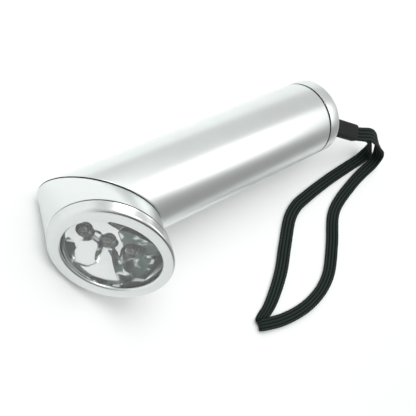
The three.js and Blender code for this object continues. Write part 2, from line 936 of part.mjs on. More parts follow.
function roundedBar(width, height, corner, length) {
  const x = height / 2;
  const y = width / 2;
  const shape = new THREE.Shape();
  shape.moveTo(-x + corner, -y);
  shape.lineTo(x - corner, -y);
  shape.absarc(x - corner, -y + corner, corner, -Math.PI / 2, 0, false);
  shape.lineTo(x, y - corner);
  shape.absarc(x - corner, y - corner, corner, 0, Math.PI / 2, false);
  shape.lineTo(-x + corner, y);
  shape.absarc(-x + corner, y - corner, corner, Math.PI / 2, Math.PI, false);
  shape.lineTo(-x, -y + corner);
  shape.absarc(-x + corner, -y + corner, corner, Math.PI, 1.5 * Math.PI, false);
  const options = { depth: length, bevelEnabled: false, curveSegments: 4 };
  return new THREE.ExtrudeGeometry(shape, options).rotateY(Math.PI / 2);
}

function strapSleeve() {
  const back = sleeveWidth;
  const bar = roundedBar(sleeveWidth, sleeveThickness, sleeveRound, sleeveLength + back);
  const body = bar.translate(-back, 0, 0).rotateZ(sleeveYaw);
  const mouth = new THREE.BoxGeometry(
    2 * sleeveMouth,
    strapWidth + 2 * clearance,
    strapStack + 2 * clearance,
  );
  mouth.translate(sleeveLength, 0, 0).rotateZ(sleeveYaw);
  const behind = new THREE.BoxGeometry(4 * back, 4 * back, 4 * back);
  behind.translate(clearance - 2 * back, 0, 0);
  const socket = rod(studRadius + clearance, -overrun, studGrip + 2 * clearance).rotateY(Math.PI / 2);
  return cut(body, mouth, behind, socket);
}

// How far the torch lies rolled about the tube's axis: the head's rim comes down to the floor
function restRoll() {
  const bezel = bezelOuterRings().map((points) => inTorch(headFrame, points));
  const rim = [shellRim(0), ...bezel].flat();
  const lowest = (roll) => Math.min(...rim.map((p) => p.y * Math.sin(roll) + p.z * Math.cos(roll)));
  let under = 0;
  let over = -Math.PI / 2;
  for (let pass = 0; pass < 50; pass++) {
    const middle = (under + over) / 2;
    if (lowest(middle) < -tubeRadius) under = middle;
    else over = middle;
  }
  return over;
}

// The strap's loop in the part's own frame: x, y, z, then in degrees the way its width faces
// and how far that side dips. It leaves the sleeve's mouth, drops to the floor, runs out leaning
// on one edge, folds flat at its far end, comes back leaning too and climbs in again.
const strapRoute = [
  [71.5, -2.7, 22.49, 63, 0],
  [75.2, -4.6, 22.49, 63, 0],
  [86.2, -8.7, 20.1, 63, 0],
  [92.3, -12.1, 16.5, 65, 0],
  [98.3, -15.8, 12, 70, 0],
  [102.4, -19.4, 7.5, 76, 0],
  [103.6, -22, 3.8, 84, 0],
  [101.6, -23.6, 1.5, 92, 0],
  [97.1, -24.3, 0.68, 95, 0],
  [78, -25.6, 0.87, 95, -4],
  [60.1, -27.7, 1.38, 98, -15],
  [52.5, -29.1, 1.77, 109, -24],
  [46.7, -32.4, 2.07, 129, -32],
  [39.8, -42.1, 2.34, 148, -40],
  [33.8, -51.7, 2.4, 146, -42],
  [25.5, -61, 1.92, 133, -28],
  [21.6, -64.4, 1.25, 126, -12],
  [18.7, -66, 0.72, 123, -3],
  [16.4, -67.4, 0.7, 115, 0],
  [15.2, -68.1, 1.45, 100, 0],
  [16.4, -68.5, 2.2, 86, 0],
  [19.6, -69.5, 2.15, 80, -2],
  [29.4, -72.2, 1.5, 80, -12],
  [40.7, -73.2, 1.6, 90, -20],
  [49.3, -72.3, 1.92, 103, -28],
  [57.4, -69.4, 2.21, 118, -36],
  [63.4, -64.7, 2.37, 143, -41],
  [69.6, -53.2, 2.4, 154, -42],
  [74.6, -41.7, 2.07, 142, -32],
  [79.3, -37.9, 1.77, 115, -24],
  [95.6, -32.1, 1.29, 108, -13],
  [103.4, -30.2, 1.3, 103, -6],
  [110.1, -27.9, 2.6, 97, 0],
  [111.2, -25.3, 4.8, 90, 0],
  [107.8, -21.2, 9, 82, 0],
  [100.9, -16.3, 14, 75, 0],
  [92.7, -11.5, 19, 69, 0],
  [85, -7.8, 22.6, 65, 0],
  [75.2, -4.6, 23.99, 63, 0],
  [71.5, -2.7, 23.99, 63, 0],
];

function strapSection() {
  const x = strapWidth / 2;
  const y = strapThickness / 2;
  const corner = y - strapEdge;
  return [
    [x, -corner],
    [x, corner],
    [x - strapEdge, y],
    [strapEdge - x, y],
    [-x, corner],
    [-x, -corner],
    [strapEdge - x, -y],
    [x - strapEdge, -y],
  ];
}

function wristStrap() {
  const curve = new THREE.CatmullRomCurve3(strapRoute.map(([x, y, z]) => new THREE.Vector3(x, y, z)));
  const section = strapSection();
  const last = strapRoute.length - 1;
  const rings = Array.from({ length: last * strapStepsPerPoint + 1 }, (_, i) => {
    const place = i / strapStepsPerPoint;
    const before = Math.min(Math.floor(place), last - 1);
    const between = (column) =>
      THREE.MathUtils.lerp(strapRoute[before][column], strapRoute[before + 1][column], place - before);
    const facing = THREE.MathUtils.degToRad(between(3));
    const dip = THREE.MathUtils.degToRad(between(4));
    const flat = Math.cos(dip);
    const side = new THREE.Vector3(flat * Math.cos(facing), flat * Math.sin(facing), Math.sin(dip));
    const onward = curve.getTangent(place / last);
    side.addScaledVector(onward, -side.dot(onward)).normalize();
    const up = new THREE.Vector3().crossVectors(onward, side);
    const middle = curve.getPoint(place / last);
    return section.map(([x, y]) => middle.clone().addScaledVector(side, x).addScaledVector(up, y));
  });
  return loft(rings, false);
}

const group = (name, ...children) => {
  const made = new THREE.Group();
  made.name = name;
  if (children.length) made.add(...children);
  return made;
};

function headGroup() {
  const made = headFrame.clone();
  made.name = "head_front";
  made.add(
    piece("bezel_ring", bezelRing(), "silver"),
    piece("lens", lensPlate(), "clear"),
    piece("lens_gasket", gasketRing(), "rubber"),
    piece("reflector", reflectorMoulding(), "chrome"),
    piece("led_board", ledBoard(), "board"),
  );
  ledPlaces.forEach((along, i) => {
    made.add(piece(`led_${i + 1}`, ledLamp().translate(along, 0, 0), "led"));
  });
  return made;
}

function seamGroup() {
  const made = seamFrame.clone();
  made.name = "swivel_and_gears";
  const at = (along, geometry) => geometry.translate(along, 0, 0);
  made.add(
    piece("swivel_plate", swivelPlate(), "steel"),
    piece("swivel_shaft", swivelShaft(), "steel"),
    piece("drive_gear", driveGear(), "nylon"),
    piece("retaining_clip", retainingClip(), "steel"),
    piece("thrust_washer", thrustWasher(), "nylon"),
    piece("bearing_plate", bearingPlate(), "steel"),
    piece("swivel_bush", swivelBush(), "brass"),
    piece("gear_plate", gearPlate(), "steel"),
    piece("first_axle", at(firstAxleAlong, firstAxle()), "steel"),
    piece("second_axle", at(secondAxleAlong, secondAxle()), "steel"),
    piece("first_gear", at(firstAxleAlong, compoundGear(driveGearLow, firstWheelLow)), "nylon"),
    piece("second_gear", at(secondAxleAlong, compoundGear(firstWheelLow, secondWheelLow)), "nylon"),
    piece("rotor_shaft", at(firstAxleAlong, rotorShaft()), "brass"),
    piece("rotor_magnet", at(firstAxleAlong, rotorMagnet()), "magnet"),
    piece("stator_cup", at(firstAxleAlong, statorCup()), "steel"),
    piece("stator_coil", at(firstAxleAlong, statorCoil()), "copper"),
  );
  [-1, 1].forEach((side, i) => {
    const post = platePost().translate(postAlong, side * postAcross, 0);
    made.add(piece(`plate_post_${i + 1}`, post, "steel"));
  });
  return made;
}

function tubeGroup() {
  const made = group(
    "tube_and_tail",
    piece("body_tube", bodyTube(), "silver"),
    piece("rectifier_board", rectifierBoard(), "board"),
    piece("cell_holder", cellHolder(), "nylon"),
    piece("contact_spring", contactSpring(), "steel"),
    piece("switch_board", switchBoard(), "board"),
    piece("switch_module", switchModule(), "magnet"),
    piece("tail_cap", tailCap(), "silver"),
    piece("tail_seal", tailSeal(), "rubber"),
    piece("switch_button", switchButton(), "silver"),
    piece("strap_stud", strapStud().translate(-studUp, studAcross, 0), "steel"),
  );
  for (let i = 0; i < cellCount; i++) {
    const angle = (2 * Math.PI * i) / cellCount;
    const place = cell().translate(cellCircle * Math.cos(angle), cellCircle * Math.sin(angle), 0);
    made.add(piece(`cell_${i + 1}`, place, "cell"));
  }
  made.rotation.y = Math.PI / 2;
  return made;
}

const roll = restRoll();
const level = group("level_sleeve", piece("strap_sleeve", strapSleeve(), "rubber"));
level.position.set(capEnd, studAcross, studUp);
level.rotation.x = -roll;

const torch = group(
  "torch",
  headGroup(),
  piece("head_shell", headShell(), "silver"),
  seamGroup(),
  tubeGroup(),
  level,
);
torch.rotation.x = roll;
torch.updateMatrixWorld(true);
const box = new THREE.Box3().setFromObject(torch, true);
const middle = box.getCenter(new THREE.Vector3());
torch.position.set(-middle.x, -middle.y, -box.min.z);

const strap = piece("wrist_strap", wristStrap(), "braid");

export default group("hand_crank_flashlight", torch, strap);
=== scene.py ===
"""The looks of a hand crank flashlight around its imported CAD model. Lengths are in millimetres until a mesh
is made, and every mesh is in metres in the model's own frame."""

import json
import math

import bmesh
import bpy
from mathutils import Matrix, Vector

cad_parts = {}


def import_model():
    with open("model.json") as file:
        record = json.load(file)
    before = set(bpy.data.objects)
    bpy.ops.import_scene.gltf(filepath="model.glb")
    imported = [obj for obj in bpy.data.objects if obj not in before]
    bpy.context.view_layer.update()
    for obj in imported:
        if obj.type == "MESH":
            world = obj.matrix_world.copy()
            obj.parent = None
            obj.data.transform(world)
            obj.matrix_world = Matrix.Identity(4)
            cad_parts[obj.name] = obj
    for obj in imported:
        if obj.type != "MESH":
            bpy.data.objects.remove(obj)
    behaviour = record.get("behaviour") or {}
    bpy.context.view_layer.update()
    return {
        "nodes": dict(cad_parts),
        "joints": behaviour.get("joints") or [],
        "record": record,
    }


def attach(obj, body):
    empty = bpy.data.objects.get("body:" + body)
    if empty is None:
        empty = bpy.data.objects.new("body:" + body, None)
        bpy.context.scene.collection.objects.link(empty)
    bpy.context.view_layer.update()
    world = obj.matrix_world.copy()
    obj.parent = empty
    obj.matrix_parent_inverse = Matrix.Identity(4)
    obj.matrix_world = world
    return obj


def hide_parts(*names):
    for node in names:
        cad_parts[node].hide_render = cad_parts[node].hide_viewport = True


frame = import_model()
NODES = frame["nodes"]

MM = 0.001

# Tube, cap and seam
TUBE_RADIUS = 15.0
TUBE_WALL = 1.5
TUBE_LENGTH = 106.9
TUBE_BEVEL = 0.28
SEAM_GAP = 0.5
CLEARANCE = 0.3
MITRE = math.pi / 4
CUT_HALF = (TUBE_RADIUS / math.sin(MITRE), TUBE_RADIUS)
CAP_END = 113.75
CAP_SHOULDER = 107.5
CAP_INSIDE = 111.75
CAP_ROUND = 1.3
CAP_EDGE = 0.3
CAP_CAVITY = 11.8
SPIGOT_LOW = 99.35
SPIGOT_OUTER = 13.2
SPIGOT_INNER = 11.2
SEAL_BACK = 3.0
SEAL_WIDTH = 1.4
SEAL_DEPTH = 1.1

# Button in the cap, and the stud that holds the sleeve
BUTTON_RADIUS = 4.8
BUTTON_PROUD = 1.0
BUTTON_ROUND = 0.5
BUTTON_DISH = 0.3
DISH_STEEPNESS = 1.4
BUTTON_STEM = 2.0
BUTTON_STEM_LOW = 107.05
BUTTON_FLANGE = 6.1
BUTTON_FLANGE_HEIGHTS = (110.05, 111.25)
BUTTON_HOLE_EDGE = 0.25
STUD_OFFSET = 9.4
STUD_TURN = 0.48
STUD_ACROSS = -STUD_OFFSET * math.cos(STUD_TURN)
STUD_UP = STUD_OFFSET * math.sin(STUD_TURN)
STUD_RADIUS = 1.3
STUD_PLAY = 0.05

# Head
FACE_MIDDLE = Vector((-7.5, -16.4, 0.0))
FACE_ANGLE = 0.92
FACE_HALF = (20.9, 23.8)
FACE_BEVEL = 0.2
BEZEL_HALF = (20.6, 24.2)
BEZEL_HEIGHT = 3.4
BEZEL_ROUND = 1.1
BEZEL_ROUND_WEAR = 0.6
HEAD_WALL = 1.8
SHELL_SHARES = (0.02, *(i / 12 for i in range(1, 12)), 0.985)
WINDOW_HALF = (16.8, 18.1)
WINDOW_CHAMFER = 0.45
WINDOW_SOFT = (0.12, 0.04, 0.05, 0.1)
LIP = 0.9
SEAT_HALF = (18.3, 19.6)
LENS_TOP = -1.2
LENS_LOW = -1.6
LENS_BEVEL = 0.1
REFLECTOR_TOP = -3.7
REFLECTOR_LOW = -8.3

# Lamps, each with an anvil, a post and a spot of phosphor inside: radius and height over the lamp's base
CUP_NECK = 2.8
LED_PLACES = (-10.7, -2.3, 6.1)
LED_RADIUS = 2.5
LED_FLANGE = 2.9
LED_FLANGE_LOW = -9.4
LED_FLANGE_TOP = -8.6
LED_ROUND = 0.15
LED_BODY = 2.5
LED_BASE = LED_FLANGE_LOW + 0.4
ANVIL = ((0.45, 0.0), (0.45, 2.2), (0.95, 3.0), (0.95, 3.25), (0.8, 3.25), (0.45, 2.75))
POST = ((0.28, 0.0), (0.28, 2.9))
PHOSPHOR = ((0.4, 2.76), (0.76, 3.16), (0.5, 3.32), (0.15, 3.38))
ANVIL_SHIFT = -0.5
POST_SHIFT = 1.1

# Black rings put in the seams as painted shade, so that each shows as a thin dark line, and how far each
# stays under the skin
CAP_RING_OVER = 0.2
CAP_RING_UNDER = 0.04
CAP_RING_EDGE = 0.05
SWIVEL_RING_HEIGHTS = (-0.24, -0.04)
SWIVEL_RING_UNDER = 0.12
BEZEL_RING_HEIGHTS = (-BEZEL_HEIGHT - 0.25, -BEZEL_HEIGHT + 0.25)
BEZEL_RING_UNDER = 0.24
GASKET_WALL = 0.3

# Wrist strap and its sleeve
STRAP_WIDTH = 5.6
STRAP_THICKNESS = 1.2
STRAP_SPACING = 0.3
STRAP_RIBS = 4
STRAND_PITCH = 1.15
STRAND_LEAN = 0.9
STRAND_PINCH = 0.03
BRAID_HEIGHTS = (0.52, 0.4, 0.08)
BRAID_ROUNDNESS = 0.6
BRAID_SHADE_POWER = 0.8
BRAID_SMOOTH_ANGLE = 60.0
SLEEVE_LENGTH = 17.6
SLEEVE_YAW = -0.468
SLEEVE_WIDTH = 7.0
SLEEVE_THICKNESS = 4.2
SLEEVE_CORNER = 1.35
SLEEVE_ROUND = 0.7
SLEEVE_MOUTH = 3.0
SLOT_CORNER = 0.3
SOCKET_RADIUS = STUD_RADIUS * 1.02
SOCKET_DEPTH = 3.4

# How finely the forms are cut, and how far a cutter goes past what it cuts
TUBE_SIDES = 224
CAP_SIDES = 192
FACE_SIDES = 256
LENS_SIDES = 192
MIRROR_SIDES = 160
BLOCK_SIDES = 128
BOWL_SIDES = 112
BUTTON_SIDES = 96
LAMP_SIDES = 64
BAR_SIDES = 48
INSIDE_SIDES = 32
POST_SIDES = 12
CORNER_STEPS = 5
SOFT = 0.3
SMOOTH_ANGLE = 32.0
PAST = 1.0

# Frames: the torch's axes, then the oval face's and the cut's
swivel = next(j for j in frame["joints"] if j["name"] == "head_swivel")
ROLL = math.atan2(-swivel["axis"][2], -swivel["axis"][1])
TORCH = Matrix.Translation(Vector(swivel["pos_m"]) / MM) @ Matrix.Rotation(ROLL, 4, "X")


def frame_at(origin, angle):
    """A frame at a place in the torch's middle plane, its third axis turned so far from the tube's own."""
    along = Vector((math.cos(angle), -math.sin(angle), 0.0))
    across = Vector((0.0, 0.0, 1.0))
    made = Matrix((along, across, along.cross(across))).transposed().to_4x4()
    return Matrix.Translation(origin) @ made


FACE = frame_at(FACE_MIDDLE, FACE_ANGLE)
CUT = frame_at(Vector(), MITRE)
TO_FACE = FACE.inverted() @ Vector((0.0, 0.0, 0.0))
SLANT = TO_FACE.x / TO_FACE.z
ALONG_TUBE = Matrix.Rotation(math.pi / 2, 4, "Y")
SLEEVE = (
    TORCH
    @ Matrix.Translation((CAP_END, STUD_ACROSS, STUD_UP))
    @ Matrix.Rotation(-ROLL, 4, "X")
    @ Matrix.Rotation(SLEEVE_YAW, 4, "Z")
)
FACE_WORLD = TORCH @ FACE
CUT_WORLD = TORCH @ CUT
TUBE_WORLD = TORCH @ ALONG_TUBE

# Camera
CAMERA_PLACE = Vector((-219.19, 71.471, 249.09))
CAMERA_RIGHT = Vector((0.687693, -0.235031, 0.686906))
CAMERA_DOWN = Vector((-0.354666, -0.934323, 0.035386))
CAMERA_FORWARD = Vector((0.633475, -0.267957, -0.725885))
SENSOR_WIDTH = 36.0
FOCAL_LENGTH = 76.27
PICTURE_SHIFT = (0.015, 0.0578)
CLIP_RANGE = (0.01, 10.0)


def add_object(name, data):
    made = bpy.data.objects.new(name, data)
    bpy.context.scene.collection.objects.link(made)
    return made


def place_camera():
    data = bpy.data.cameras.new("camera")
    camera = add_object("camera", data)
    axes = Matrix((CAMERA_RIGHT, -CAMERA_DOWN, -CAMERA_FORWARD)).transposed().to_4x4()
    camera.matrix_world = Matrix.Translation(CAMERA_PLACE * MM) @ axes
    data.sensor_width = SENSOR_WIDTH
    data.lens = FOCAL_LENGTH
    data.shift_x, data.shift_y = PICTURE_SHIFT
    data.clip_start, data.clip_end = CLIP_RANGE
    bpy.context.scene.camera = camera


place_camera()

# Meshes
def to_object(name, points, faces, body, frame_of=None, edges=None, smooth_angle=SMOOTH_ANGLE):
    """A mesh object from points in millimetres, with a value at each point that the materials can read."""
    mesh = bpy.data.meshes.new(name)
    matrix = frame_of if frame_of is not None else Matrix.Identity(4)
    mesh.from_pydata([(matrix @ Vector(p)) * MM for p in points], [], faces)
    mesh.validate()
    fix = bmesh.new()
    fix.from_mesh(mesh)
    bmesh.ops.recalc_face_normals(fix, faces=fix.faces)
    fix.to_mesh(mesh)
    fix.free()
    mesh.shade_smooth()
    mesh.set_sharp_from_angle(angle=math.radians(smooth_angle))
    if edges is not None:
        layer = mesh.attributes.new("edge", "FLOAT", "POINT")
        layer.data.foreach_set("value", edges)
    made = add_object(name, mesh)
    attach(made, body)
    return made


def oval(height, offset, half, count, inset=0.0):
    """Points of an oval at one height, its middle moved along its first half size."""
    ring = []
    for i in range(count):
        angle = 2 * math.pi * i / count
        first = offset + (half[0] - inset) * math.cos(angle)
        second = (half[1] - inset) * math.sin(angle)
        ring.append(Vector((first, second, height)))
    return ring


def quarter(steps):
    """The angles of a quarter turn, from none to all of it."""
    return [math.pi / 2 * i / steps for i in range(steps + 1)]


def skin(rings, closed):
    """Points and faces of a skin through rings of equal count."""
    count = len(rings[0])
    points = [p for ring in rings for p in ring]
    faces = []
    last = len(rings) if closed else len(rings) - 1
    for r in range(last):
        a = r * count
        b = ((r + 1) % len(rings)) * count
        for i in range(count):
            j = (i + 1) % count
            faces.append((a + i, a + j, b + j, b + i))
    if not closed:
        top = (len(rings) - 1) * count
        faces.append(tuple(reversed(range(count))))
        faces.append(tuple(range(top, top + count)))
    return points, faces


def turned_rings(profile, count):
    """Rings of a turned form about z from its half section of (radius, height)."""
    return [oval(height, 0.0, (radius, radius), count) for radius, height in profile]


def fillet(start, corner, end, radius):
    """Points of a rounded corner between two straight stretches of a half section."""
    a = (Vector(start) - Vector(corner)).normalized()
    b = (Vector(end) - Vector(corner)).normalized()
    half = a.angle(b) / 2
    reach = radius / math.tan(half)
    middle = Vector(corner) + (a + b).normalized() * (radius / math.sin(half))
    first = Vector(corner) + a * reach - middle
    last = Vector(corner) + b * reach - middle
    sweep = first.angle(last)
    side = (last - first * math.cos(sweep)) / math.sin(sweep)
    made = []
    for i in range(CORNER_STEPS + 1):
        angle = sweep * i / CORNER_STEPS
        made.append(tuple(middle + first * math.cos(angle) + side * math.sin(angle)))
    return made


def rounded_profile(corners):
    """A closed half section from (radius, height, rounding), and how near each point is to an edge."""
    profile = []
    weights = []
    for i, (radius, height, rounding) in enumerate(corners):
        before = corners[i - 1][:2]
        after = corners[(i + 1) % len(corners)][:2]
        if rounding > 0.0:
            made = fillet(before, (radius, height), after, rounding)
            profile.extend(made)
            weights.extend([0.0] + [1.0] * (len(made) - 2) + [0.0])
        else:
            profile.append((radius, height))
            weights.append(0.0)
    return profile, weights


def ringed(name, rings, weights, body, frame_of):
    """A piece closed through rings that each say how near they are to an edge."""
    points, faces = skin(rings, True)
    edges = [weight for weight in weights for _ in rings[0]]
    return to_object(name, points, faces, body, frame_of, edges)


def on_face(name, rings):
    """A closed block through rings, made in the face's own frame."""
    return to_object(name, *skin(rings, False), "head", FACE_WORLD)


def turned(name, corners):
    """A turned ring-shaped piece on the tube's axis: no corner touches the axis."""
    profile, weights = rounded_profile(corners)
    return ringed(name, turned_rings(profile, CAP_SIDES), weights, "body", TUBE_WORLD)


def oval_band(name, half, heights, insets, body, frame_of, count=FACE_SIDES, lean=0.0):
    """A thin ring along an oval, between two heights and two insets from it."""
    rings = []
    for h, i in ((0, 0), (0, 1), (1, 1), (1, 0)):
        rings.append(oval(heights[h], lean * heights[h], half, count, insets[i]))
    return to_object(name, *skin(rings, True), body, frame_of)


def round_bar(radius, low, high, frame_of, place=(0.0, 0.0), count=BAR_SIDES):
    """A plain bar along the third axis of a frame, only used to carve with."""
    rings = []
    for height in (low, high):
        ring = oval(height, 0.0, (radius, radius), count)
        rings.append([p + Vector((*place, 0.0)) for p in ring])
    return to_object("round_bar", *skin(rings, False), "body", frame_of)


def carve(piece, cutter, operation="DIFFERENCE"):
    """Cuts a piece with another, or joins the two; the other is then gone."""
    modifier = piece.modifiers.new("carve", "BOOLEAN")
    modifier.operation = operation
    modifier.solver = "EXACT"
    modifier.object = cutter
    apply_all(piece)
    mesh = cutter.data
    bpy.data.objects.remove(cutter)
    bpy.data.meshes.remove(mesh)


def apply_all(piece):
    """The piece's mesh with its modifiers worked in."""
    graph = bpy.context.evaluated_depsgraph_get()
    shaped = bpy.data.meshes.new_from_object(piece.evaluated_get(graph))
    piece.modifiers.clear()
    old = piece.data
    piece.data = shaped
    bpy.data.meshes.remove(old)


# Shells of the tube, cap and head
def tube_ring(radius, end_at, shift):
    """A ring of the tube at one of its ends, moved so far along the tube."""
    ring = []
    for i in range(TUBE_SIDES):
        angle = 2 * math.pi * i / TUBE_SIDES
        y = radius * math.cos(angle)
        z = radius * math.sin(angle)
        ring.append(Vector((end_at(y) + shift, y, z)))
    return ring


def body_tube():
    """The tube from its slanted cut to its cap, in rows of radius, end, shift and nearness to an edge."""
    start = SEAM_GAP / 2 / math.sin(MITRE)
    slanted = lambda y: start - y / math.tan(MITRE)
    level = lambda y: TUBE_LENGTH
    inner = TUBE_RADIUS - TUBE_WALL
    bevel = TUBE_BEVEL
    rows = (
        (TUBE_RADIUS, slanted, bevel * 1.5, 0.0),
        (TUBE_RADIUS - bevel * SOFT, slanted, bevel * 0.5, 1.0),
        (TUBE_RADIUS - bevel, slanted, 0.0, 1.0),
        (inner, slanted, 0.0, 0.0),
        (inner, level, 0.0, 0.0),
        (TUBE_RADIUS - bevel, level, 0.0, 0.0),
        (TUBE_RADIUS - bevel * SOFT, level, -bevel * SOFT, 1.0),
        (TUBE_RADIUS, level, -bevel, 1.0),
        (TUBE_RADIUS, level, -bevel * 1.6, 0.0),
    )
    rings = [tube_ring(*row[:3]) for row in rows]
    made = ringed("body_tube_skin", rings, [row[3] for row in rows], "body", TORCH)
    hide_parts("body_tube")
    return made


def tail_cap():
    """The cap with its spigot, the groove of its seal, the button's hole and the stud's hole."""
    groove_high = CAP_SHOULDER - SEAL_BACK
    groove_low = groove_high - SEAL_WIDTH
    groove = SPIGOT_OUTER - SEAL_DEPTH
    hole = BUTTON_RADIUS + CLEARANCE
    made = turned(
        "tail_cap_skin",
        [
            (SPIGOT_INNER, SPIGOT_LOW, 0.0),
            (SPIGOT_OUTER, SPIGOT_LOW, CAP_EDGE),
            (SPIGOT_OUTER, groove_low, 0.0),
            (groove, groove_low, 0.0),
            (groove, groove_high, 0.0),
            (SPIGOT_OUTER, groove_high, 0.0),
            (SPIGOT_OUTER, CAP_SHOULDER, 0.0),
            (TUBE_RADIUS, CAP_SHOULDER, CAP_EDGE),
            (TUBE_RADIUS, CAP_END, CAP_ROUND),
            (hole, CAP_END, BUTTON_HOLE_EDGE),
            (hole, CAP_INSIDE, 0.0),
            (CAP_CAVITY, CAP_INSIDE, 0.0),
            (CAP_CAVITY, CAP_SHOULDER, 0.0),
            (SPIGOT_INNER, CAP_SHOULDER, 0.0),
        ],
    )
    stud_place = (-STUD_UP, STUD_ACROSS)
    carve(made, round_bar(STUD_RADIUS + STUD_PLAY, CAP_INSIDE - PAST, CAP_END + PAST, TUBE_WORLD, stud_place))
    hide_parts("tail_cap")
    return made


def cap_seam():
    """A black ring, painted shade, that shows as a thin dark line between the tube and its cap."""
    low = TUBE_LENGTH - CAP_RING_OVER
    high = CAP_SHOULDER + CAP_RING_OVER
    outer = TUBE_RADIUS - CAP_RING_UNDER
    return turned(
        "cap_seam_painted_shade_ring",
        [
            (SPIGOT_OUTER, low, 0.0),
            (outer, low, CAP_RING_EDGE),
            (outer, high, CAP_RING_EDGE),
            (SPIGOT_OUTER, high, 0.0),
        ],
    )


def swivel_seam():
    """A black ring, painted shade, that shows as a thin dark line between the tube and the head."""
    insets = (TUBE_WALL, SWIVEL_RING_UNDER)
    return oval_band("swivel_seam_painted_shade_ring", CUT_HALF, SWIVEL_RING_HEIGHTS, insets, "body", CUT_WORLD)


def bezel_seam():
    """A black ring, painted shade, that shows as a thin dark line between the head's shell and its bezel."""
    insets = (HEAD_WALL, BEZEL_RING_UNDER)
    heights = BEZEL_RING_HEIGHTS
    return oval_band("bezel_seam_painted_shade_ring", BEZEL_HALF, heights, insets, "head", FACE_WORLD, lean=SLANT)


def head_shell():
    """The wedge between the slanted cut and the bezel, with ruled sides."""
    rim_height = -BEZEL_HEIGHT - CLEARANCE / 2
    foot_height = SEAM_GAP / 2
    soft = FACE_BEVEL * SOFT

    def rim(inset, height):
        return [FACE @ p for p in oval(height, SLANT * height, BEZEL_HALF, FACE_SIDES, inset)]

    def foot(inset, height):
        return [CUT @ p for p in oval(height, 0.0, CUT_HALF, FACE_SIDES, inset)]

    low = foot(0.0, foot_height)
    high = rim(0.0, rim_height)
    rings = [foot(FACE_BEVEL, foot_height), foot(soft, foot_height + soft)]
    rings += [[a.lerp(b, share) for a, b in zip(low, high)] for share in SHELL_SHARES]
    rings += [rim(soft, rim_height - soft), rim(FACE_BEVEL, rim_height)]
    rings += [rim(HEAD_WALL, rim_height), foot(HEAD_WALL, foot_height)]
    weights = [1.0, 1.0] + [0.0] * len(SHELL_SHARES) + [1.0, 1.0, 0.0, 0.0]
    made = ringed("head_shell_skin", rings, weights, "head", TORCH)
    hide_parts("head_shell")
    return made


def bezel_ring():
    """The bezel in rows of height, height for the slant, half sizes, inset and nearness to an edge."""
    low = -BEZEL_HEIGHT + CLEARANCE / 2
    soft = FACE_BEVEL * SOFT
    rows = [
        (low, low, BEZEL_HALF, FACE_BEVEL, 1.0),
        (low + soft, low, BEZEL_HALF, soft, 1.0),
        (low + FACE_BEVEL, low + FACE_BEVEL, BEZEL_HALF, 0.0, 0.0),
    ]
    side_steps = 5
    for i in range(1, side_steps):
        share = i / side_steps
        height = low + (-BEZEL_ROUND - low) * share
        half = tuple(a + (b - a) * share for a, b in zip(BEZEL_HALF, FACE_HALF))
        rows.append((height, height, half, 0.0, 0.0))
    for angle in quarter(10):
        height = -BEZEL_ROUND + BEZEL_ROUND * math.sin(angle)
        rows.append((height, height, FACE_HALF, BEZEL_ROUND * (1 - math.cos(angle)), BEZEL_ROUND_WEAR))
    for height, out, weight in (
        (0.0, WINDOW_CHAMFER + WINDOW_SOFT[0], 0.0),
        (-WINDOW_SOFT[1], WINDOW_CHAMFER, 1.0),
        (-WINDOW_CHAMFER, WINDOW_SOFT[2], 1.0),
        (-WINDOW_CHAMFER - WINDOW_SOFT[3], 0.0, 0.0),
        (-LIP, 0.0, 0.0),
    ):
        rows.append((height, 0.0, WINDOW_HALF, -out, weight))
    rows.append((-LIP, 0.0, SEAT_HALF, 0.0, 0.0))
    rows.append((low, 0.0, SEAT_HALF, 0.0, 0.0))
    rings = [oval(height, SLANT * lean, half, FACE_SIDES, inset) for height, lean, half, inset, _ in rows]
    made = ringed("bezel_ring_skin", rings, [row[4] for row in rows], "head", FACE_WORLD)
    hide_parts("bezel_ring")
    return made


def lens():
    """The clear pane with a small bevel on both sides."""
    half = tuple(a - CLEARANCE for a in SEAT_HALF)
    low = ((LENS_LOW, LENS_BEVEL), (LENS_LOW + LENS_BEVEL, 0.0))
    high = ((LENS_TOP - LENS_BEVEL, 0.0), (LENS_TOP, LENS_BEVEL))
    rings = [oval(height, 0.0, half, LENS_SIDES, inset) for height, inset in low + high]
    made = on_face("lens_pane", rings)
    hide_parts("lens")
    return made


# The mirror: a floor of two planes, a raised facet, sunk facets and a cup round each lamp
RAISED = (
    (-10.1, -3.1), (-8.3, -0.8), (-5.5, -1.5), (-3.9, -4.2),
    (-2.8, -8.4), (-4.3, -11.7), (-8.4, -12.9), (-10.3, -8.7),
)
RAISED_FOOT = (
    (-9.8, -3.9), (-8.2, -1.8), (-2.9, -2.1), (-2.2, -5.6),
    (-1.5, -10.9), (-3.7, -14.6), (-9.0, -15.9), (-10.7, -10.1),
)
# A plane is a place with its height, a tilt in degrees and the way it falls
RAISED_PLANE = ((0.0, -15.0, -1.9), 9.1, 90.0)
RAISED_FOOT_LOW = -6.6
SUNK = (
    (
        ((-14.8, -8.2), (-11.5, -6.8), (-10.1, -9.0), (-8.5, -13.4), (-9.8, -19.5), (-16.5, -13.5)),
        ((0.0, -17.5, -1.85), 20.0, 90.0),
    ),
    (
        ((-1.1, -3.6), (2.2, -2.6), (5.2, -9.6)),
        ((-1.1, -3.6, -4.91), 26.0, 44.0),
    ),
    (
        ((6.5, -11.5), (11.9, -20.0), (19.5, -14.0), (14.9, -8.8), (10.3, -10.8)),
        ((0.0, -17.3, -1.9), 22.0, 80.0),
    ),
    (
        ((-6.5, 9.5), (-4.5, 14.5), (3, 16), (10, 14), (13, 8.5), (9, 9.5), (2, 10.2), (-2, 8.4)),
        ((0.0, 8.6, -4.9), 22.0, 96.0),
    ),
)
WIDE_CUP_MIDDLE = (8.4, -0.6)
WIDE_CUP_HALF = (6.6, 9.6)
SMALL_CUP_HALF = (3.5, 3.5)
CUP_OVER = 1.5
CUP_STEPS = 24
FLUTES = 7
FLUTE_SHARE = 0.05
FLUTE_TWIST = 5.0
TROUGH_AT = 1.0
